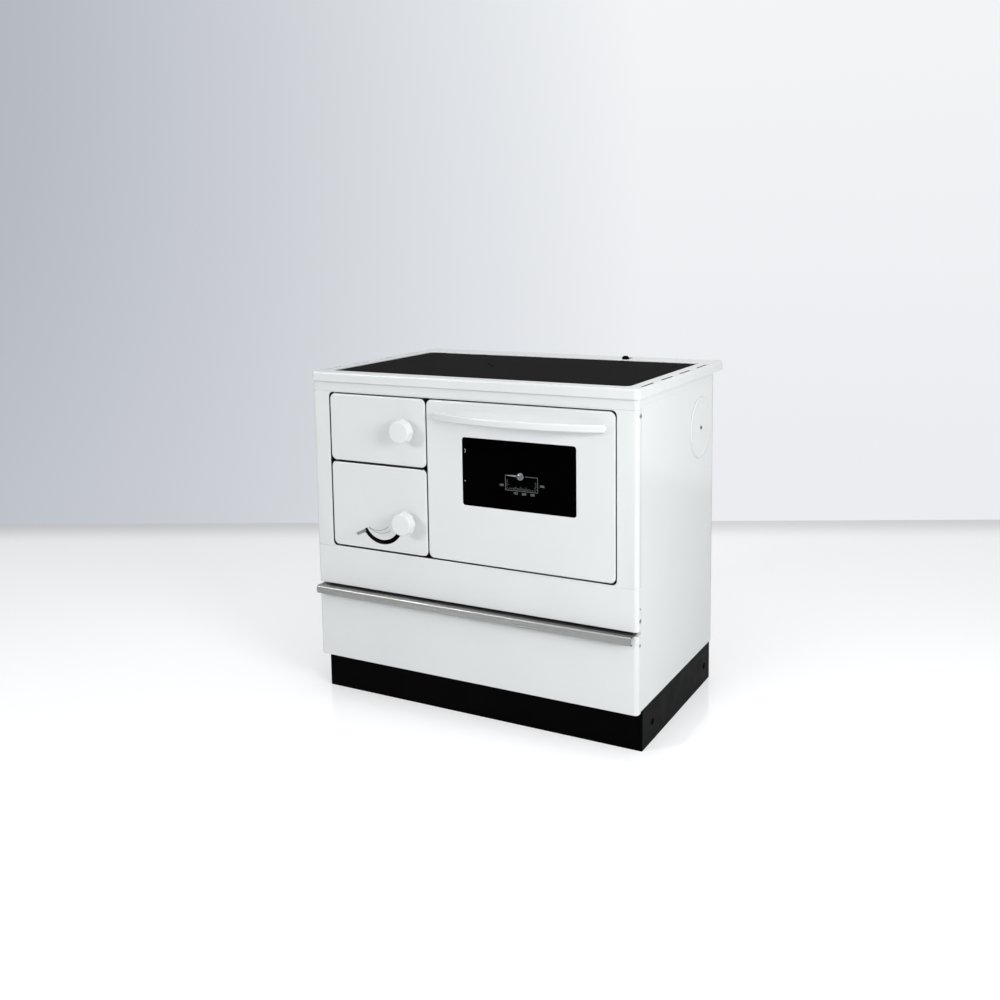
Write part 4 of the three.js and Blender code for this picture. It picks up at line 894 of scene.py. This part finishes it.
def makeDial(look):
    face = sizeOf("oven_door_glass")[2] - 0.02
    shape = bmesh.new()
    x0, x1, z0, z1 = look["frame"]
    left, right = look["gap"]
    for a, b in (((x0, z0), (x1, z0)), ((x1, z0), (x1, z1)), ((x0, z0), (x0, z1)), ((x0, z1), (left, z1)),
                 ((right, z1), (x1, z1))):
        printLine(shape, a, b, look["line"], face, look["thick"])
    cx, cz = look["centre"]
    for i in range(look["ticks"]):
        angle = radians(look["from"] + i * look["sweep"] / (look["ticks"] - 1))
        ahead = Vector((cos(angle), sin(angle)))
        reach = min((x1 - 2.4 - cx) / ahead.x if ahead.x > 0.01 else 1e9,
                    (x0 + 2.4 - cx) / ahead.x if ahead.x < -0.01 else 1e9, (z0 + 2.2 - cz) / ahead.y)
        outer = Vector((cx, cz)) + ahead * reach
        inner = outer - ahead * (9 if i % 5 == 3 else 5)
        printLine(shape, inner, outer, look["tick"], face, look["thick"])
    for text, (x, z) in dialFigures.items():
        addFigures(shape, text, x, z, look["figure"], face - 0.06)
    setPiece("dialPrint", shape, "oven_door", dialInk, smooth=30)


makeDial(dialLook)

clipLook = {"wire": 1.1, "radius": 4.4, "crescent": (2.5, 678), "dot": (1.7, 604)}


# Ends of the spring clips that hold the pane, just showing at the window's left edge.
def makeClips(look):
    face = sizeOf("oven_door_glass")[2]
    x, z = look["crescent"]
    shape = bmesh.new()
    bend = [radians(-75 + 150 * i / 10) for i in range(11)]
    rod(shape, [(x + look["radius"] * cos(t) * 0.6, face - look["wire"], z + look["radius"] * sin(t))
                for t in bend], look["wire"], 8)
    x, z = look["dot"]
    turn(shape, [(0, -1.6), (1, -1.4), (1.6, -0.8), (1.7, 0), (0, 0)], (x + 1, face, z), "y", 16)
    setPiece("paneClips", shape, "oven_door", chrome, smooth=50)


makeClips(clipLook)

domeLook = {
    "node": "thermometer_boss", "body": "oven_door", "material": nickel, "slot": "stainless", "axis": "y", "base": 0,
    "steps": 64, "smooth": 50,
    "profile": [(0, -7.5), (1.8, -7.42), (3.6, -7.15), (5.4, -6.65), (7, -5.9), (8.4, -4.8), (9.5, -3.5),
                (10.1, -2.3), (10.3, -1.5), (10.1, -0.9), (3, -0.9), (3, 5.8), (0, 5.8)],
}
makeTurned("thermometerDome", domeLook)

arcsLook = {"line": 1.1, "first": ((-282, 458), (-253, 452), (-222, 466)),
            "second": ((-282, 458), (-243.5, 446), (-216, 456))}


def arcThrough(a, b, c, steps=24):
    (ax, az), (bx, bz), (cx, cz) = a, b, c
    d = 2 * (ax * (bz - cz) + bx * (cz - az) + cx * (az - bz))
    sa, sb, sc = ax ** 2 + az ** 2, bx ** 2 + bz ** 2, cx ** 2 + cz ** 2
    ux = (sa * (bz - cz) + sb * (cz - az) + sc * (az - bz)) / d
    uz = (sa * (cx - bx) + sb * (ax - cx) + sc * (bx - ax)) / d
    radius = hypot(ax - ux, az - uz)
    start, end = atan2(az - uz, ax - ux), atan2(cz - uz, cx - ux)
    while end < start:
        end += 2 * pi
    return [(ux + radius * cos(start + (end - start) * i / steps),
             uz + radius * sin(start + (end - start) * i / steps)) for i in range(steps + 1)]


def makeAirPrint(look):
    shape = bmesh.new()
    for key in ("first", "second"):
        points = arcThrough(*look[key])
        for a, b in zip(points, points[1:]):
            printLine(shape, a, b, look["line"], -0.01, 0.1)
    setPiece("airPrint", shape, "ash_door", doorInk, smooth=30)


makeAirPrint(arcsLook)

print("stage: drawer rail, screws and flue fittings")

railLook = {"sheet": 1.6, "bend": 2.2, "groove": 1.2, "grooveRear": 6.8, "grooveFront": 3}


def makeRail(look):
    x0, x1, y0, y1, z0, z1 = sizeOf("drawer_rail")
    bend = look["bend"]
    rear, front, deep = y0 + look["grooveRear"], y0 + look["grooveFront"], z1 - look["groove"]
    profile = [(y1, z1), (rear, z1), (rear - 0.3, deep), (front + 0.3, deep), (front, z1)]
    for i in range(7):
        tip = radians(90 + 15 * i)
        profile.append((y0 + bend + bend * cos(tip), z1 - bend + bend * sin(tip)))
    profile += [(y0, z0 + 1.5)]
    for i in range(1, 5):
        tip = radians(180 + 22.5 * i)
        profile.append((y0 + 1.5 + 1.5 * cos(tip), z0 + 1.5 + 1.5 * sin(tip)))
    profile.append((y0 + 7, z0))
    shape = bmesh.new()
    rows = [[shape.verts.new((x, y, z)) for y, z in profile] for x in (x0, x1)]
    skin(shape, rows, closed=False)
    # painted shade: the groove near the rail's front edge takes the dark ground coat
    setPiece("drawerRail", shape, "wood_drawer", stainless, ["drawer_rail"], sheet=-look["sheet"],
             smooth=30, inner=backCoatAndPaintedShade, inPaintedShade=lambda p: p.z < z1 - 0.1 and front < p.y < rear)


makeRail(railLook)

sideScrews = {  # y, z, radius and rise
    "cabinetScrews": ("cabinet", [(14, 788, 5.6, 2.1), (14, 319, 5.04, 2.1), (14, 347, 2.52, 1.26)]),
    "drawerScrews": ("wood_drawer", [(12, 262, 3.92, 1.68)]),
}
railScrewX = (-316, 0, 316)
backScrewX = (-220, 0, 60)
plugProfile = [(0, 0.9), (6.4, 0.8), (7.8, 0.5), (8.4, 0), (5.6, 0), (5.4, -3), (0, -3)]


# Socket-head screw: a low dome with a six-sided socket, facing along axis with sign.
def addScrew(shape, place, axis, sign, radius, rise, socket=0.42):
    profile = [(0, rise * 0.35), (radius * socket, rise * 0.35), (radius * socket, rise * 0.96),
               (radius * 0.62, rise), (radius * 0.84, rise * 0.86), (radius * 0.97, rise * 0.52), (radius, 0),
               (radius * 0.6, -0.2), (0, -0.2)]

    def sixSided(reach, along, angle):
        if abs(reach - radius * socket) > 1e-6:
            return reach
        step = pi / 3
        return reach * cos(step / 2) / cos((angle % step) - step / 2)

    turn(shape, [(r, a * sign) for r, a in profile], place, axis, 24, sixSided)


def makeScrews():
    half = sizeOf("front_frame")[1]
    for name, (body, rows) in sideScrews.items():
        shape = bmesh.new()
        for side in (-1, 1):
            for y, z, radius, rise in rows:
                addScrew(shape, (side * half, y, z), "x", side, radius, rise)
        setPiece(name, shape, body, zinc, smooth=40)
    top = sizeOf("drawer_rail")[5]
    shape = bmesh.new()
    for x in railScrewX:
        addScrew(shape, (x, 9, top), "z", 1, 3.4, 1.6)
    setPiece("railScrews", shape, "wood_drawer", chrome, smooth=40)
    half, y0, y1 = sizeOf("plinth_frame")[1:4]
    shape = bmesh.new()
    for side in (-1, 1):
        for y in (y0 + 68, y1 - 46):
            turn(shape, [(r, a * side) for r, a in plugProfile], (side * half, y, 46), "x", 32)
    setPiece("plinthPlugs", shape, "cabinet", rubber, smooth=50)
    x0, x1, y0, y1, z0, z1 = sizeOf("back_panel")
    spots = [(x, z) for z in (z0 + 14, z0 + 240, z0 + 470, z1 - 16) for x in (x0 + 9, x1 - 9)]
    shape = bmesh.new()
    for x, z in spots + [(x, z0 + 14) for x in backScrewX]:
        addScrew(shape, (x, y1, z), "y", 1, 4.2, 1.8)
    setPiece("backScrews", shape, "cabinet", chrome, smooth=40)


makeScrews()

coverLook = {
    "node": "flue_cover_disc", "body": "cabinet", "material": whiteEnamel, "slot": "white_enamel", "axis": "x",
    "steps": 96, "smooth": 40,
    "profile": [(0, 2), (64, 2), (65.5, 2.05), (67, 2.3), (68.4, 2.65), (70, 2.75), (74, 2.75), (76, 2.6),
                (77.3, 2.1), (78, 1.2), (78, 0.2), (0, 0.2)],
}
makeTurned("flueCover", coverLook)


def makeCoverScrew():
    x0, x1, y0, y1, z0, z1 = sizeOf("flue_cover_screw")
    shape = bmesh.new()
    addScrew(shape, (x1 - 1.4, (y0 + y1) / 2, (z0 + z1) / 2), "x", 1, 5, 1.4)
    setPiece("flueCoverScrew", shape, "cabinet", blackOxide, ["flue_cover_screw"], smooth=40)


makeCoverScrew()

collarLook = {
    "node": "flue_collar", "body": "cabinet", "material": castIron, "slot": "cast_iron", "axis": "y", "steps": 96,
    "smooth": 40, "bolts": 4, "boltCircle": 74,
    "profile": [(57, 0), (86, 0), (86, 1.4), (85.4, 2), (64, 2), (62, 2.8), (60.6, 4.2), (60, 6.5), (60, 49),
                (59.4, 51), (58.4, 51.8), (57, 52), (57, 0)],
}
makeTurned("flueCollar", collarLook)


def makeCollarBolts(look):
    x0, x1, y0, y1, z0, z1 = sizeOf(look["node"])
    shape = bmesh.new()
    for i in range(look["bolts"]):
        angle = radians(45 + 360 / look["bolts"] * i)
        right, up = look["boltCircle"] * cos(angle), look["boltCircle"] * sin(angle)
        spot = ((x0 + x1) / 2 + right, y0 + 2, (z0 + z1) / 2 + up)
        turn(shape, [(0, 3.4), (5.2, 3.4), (5.8, 2.8), (5.8, 0), (0, 0)], spot, "y", 6)
    setPiece("collarBolts", shape, "cabinet", blackOxide, smooth=30)


makeCollarBolts(collarLook)

damperKnobLook = {
    "node": "damper_knob", "body": "damper", "material": blackEnamel, "slot": "black_enamel", "axis": "z",
    "steps": 48, "smooth": 50,
    "profile": [(0, 0), (4.3, 0), (8.6, 0), (9.6, 0.5), (10, 1.6), (9.7, 3.4), (8.9, 5.2), (7.5, 6.8), (5.6, 8.1),
                (3.2, 8.8), (0, 9)],
}
makeTurned("damperKnob", damperKnobLook)

print("stage: firebox, oven and seals")

brickLook = {"more": 3, "fewer": 2, "joint": 0.8, "sunk": 0.8, "edge": 2.2}  # bricks in a course


def makeBricks(look):
    for node in ("firebrick_left", "firebrick_right", "firebrick_rear"):
        x0, x1, y0, y1, z0, z1 = sizeOf(node)
        lengthwise = node != "firebrick_rear"
        start, end = (y0, y1) if lengthwise else (x0, x1)
        high = (z1 - z0) / 2
        shape = bmesh.new()
        for row in range(2):
            count = look["more"] if (row == 0) == lengthwise else look["fewer"]
            wide = (end - start) / count
            for i in range(count):
                a, b = start + i * wide + look["joint"] / 2, start + (i + 1) * wide - look["joint"] / 2
                sunk = random.uniform(0, look["sunk"])
                low, top = z0 + row * high + look["joint"] / 2, z0 + (row + 1) * high - look["joint"] / 2
                if lengthwise:
                    box(shape, x0 + sunk, x1 - sunk, a, b, low, top)
                else:
                    box(shape, a, b, y0 + sunk, y1 - sunk, low, top)
        setPiece("bricks" + node.split("_")[1].capitalize(), shape, "cabinet", fireclay, [node],
                 edge=look["edge"])


makeBricks(brickLook)

sealLook = {"wide": 10, "corner": 24, "strands": 8, "pitch": 9.0, "step": 1.5, "around": 16}


def makeSeal(name, node, body, look):
    x0, x1, y0, y1, z0, z1 = sizeOf(node)
    half = look["wide"] / 2
    path = []
    outline = insetOutline((x0, x1, z0, z1), half, look["corner"], 10)
    for (ax, az), (bx, bz) in zip(outline, outline[1:] + outline[:1]):
        length = hypot(bx - ax, bz - az)
        count = max(1, round(length / look["step"]))
        path += [(ax + (bx - ax) * i / count, az + (bz - az) * i / count) for i in range(count)]
    total = sum(dist(a, b) for a, b in zip(path, path[1:] + path[:1]))
    turns = round(total / look["pitch"])
    shape = bmesh.new()
    rings = []
    done = 0.0
    for i, (x, z) in enumerate(path):
        before, after = path[i - 1], path[(i + 1) % len(path)]
        ahead = Vector((after[0] - before[0], after[1] - before[1])).normalized()
        side = Vector((ahead.y, -ahead.x))
        phase = 2 * pi * turns * done / total
        ring = []
        for k in range(look["around"]):
            angle = 2 * pi * k / look["around"]
            braid = 0.5 * (cos(look["strands"] / 2 * angle + phase) + cos(look["strands"] / 2 * angle - phase))
            reach = 0.93 + 0.07 * braid
            u, v = half * reach * cos(angle), (y1 - y0) / 2 * reach * sin(angle)
            ring.append(shape.verts.new((x + side.x * u, (y0 + y1) / 2 + v, z + side.y * u)))
        rings.append(ring)
        done += dist((x, z), after)
    skin(shape, rings + [rings[0]])
    setPiece(name, shape, body, ropeFibre, [node], smooth=80)


makeSeal("fireDoorSeal", "fire_door_gasket", "fire_door", sealLook)
makeSeal("ashDoorSeal", "ash_door_gasket", "ash_door", sealLook)
makeSeal("ovenDoorSeal", "oven_door_gasket", "oven_door", sealLook)

wireLook = {"wires": 15, "wire": 1.8, "rim": 3, "runner": 2.5}


def makeRack(look):
    x0, x1, y0, y1, z0, z1 = sizeOf("oven_rack")
    rim = look["rim"]
    level = z0 + rim
    shape = bmesh.new()
    loop = [(x, y, level) for x, y in roundedOutline(x0 + rim, x1 - rim, y0 + rim, y1 - rim, 10, 5)]
    rod(shape, loop + loop[:1], rim)
    rod(shape, [(x0 + rim, (y0 + y1) / 2, level), (x1 - rim, (y0 + y1) / 2, level)], rim * 0.8)
    for i in range(1, look["wires"]):
        x = x0 + (x1 - x0) * i / look["wires"]
        rod(shape, [(x, y0 + look["wire"], level + rim), (x, y1 - look["wire"], level + rim)], look["wire"], 8)
    setPiece("ovenRack", shape, "cabinet", chrome, ["oven_rack"], smooth=60)


def makeRunners(look):
    for side, node in ((-1, "oven_runner_left"), (1, "oven_runner_right")):
        x0, x1, y0, y1, z0, z1 = sizeOf(node)
        radius = look["runner"]
        wallX, railX = (x0 + radius, x1 - radius) if side < 0 else (x1 - radius, x0 + radius)
        shape = bmesh.new()
        posts = (y0 + 40, y1 - 40)
        for y in posts:
            rod(shape, [(wallX, y, z0 + 1), (wallX, y, z1 - 1)], radius)
        rack, tray = sizeOf("oven_rack")[4], sizeOf("baking_tray")[5] - 2
        for level in (tray, rack, rack + 70):
            z = level - radius - 0.3
            rod(shape, [(railX, y0, z), (railX, y1, z)], radius)
            for y in posts:
                rod(shape, [(wallX, y, z), (railX, y, z)], radius * 0.8)
        setPiece("ovenRunner" + ("Left" if side < 0 else "Right"), shape, "cabinet", chrome, [node],
                 smooth=60)


trayLook = {"corner": 12, "lip": 14, "sheet": 1.2}


def makeTray(look):
    x0, x1, y0, y1, z0, z1 = sizeOf("baking_tray")
    lip = look["lip"]
    shape = bmesh.new()
    stations = [(0.6, z1 - 1.9), (0, z1 - 1.0), (0.5, z1 - 0.2), (1.6, z1 - 0.05), (lip - 2, z1 - 0.6), (lip, z1 - 2),
                (lip + 1.2, z1 - 6), (lip + 4, z0 + 5), (lip + 5.5, z0 + 2), (lip + 8, z0 + 1.3)]
    rings = [levelRing(shape, insetOutline((x0, x1, y0, y1), inset, look["corner"] + inset), z)
             for inset, z in stations]
    skin(shape, rings)
    shape.faces.new(rings[-1])
    setPiece("bakingTray", shape, "cabinet", ovenEnamel, ["baking_tray"], sheet=look["sheet"], smooth=50)


makeRack(wireLook)
makeRunners(wireLook)
makeTray(trayLook)
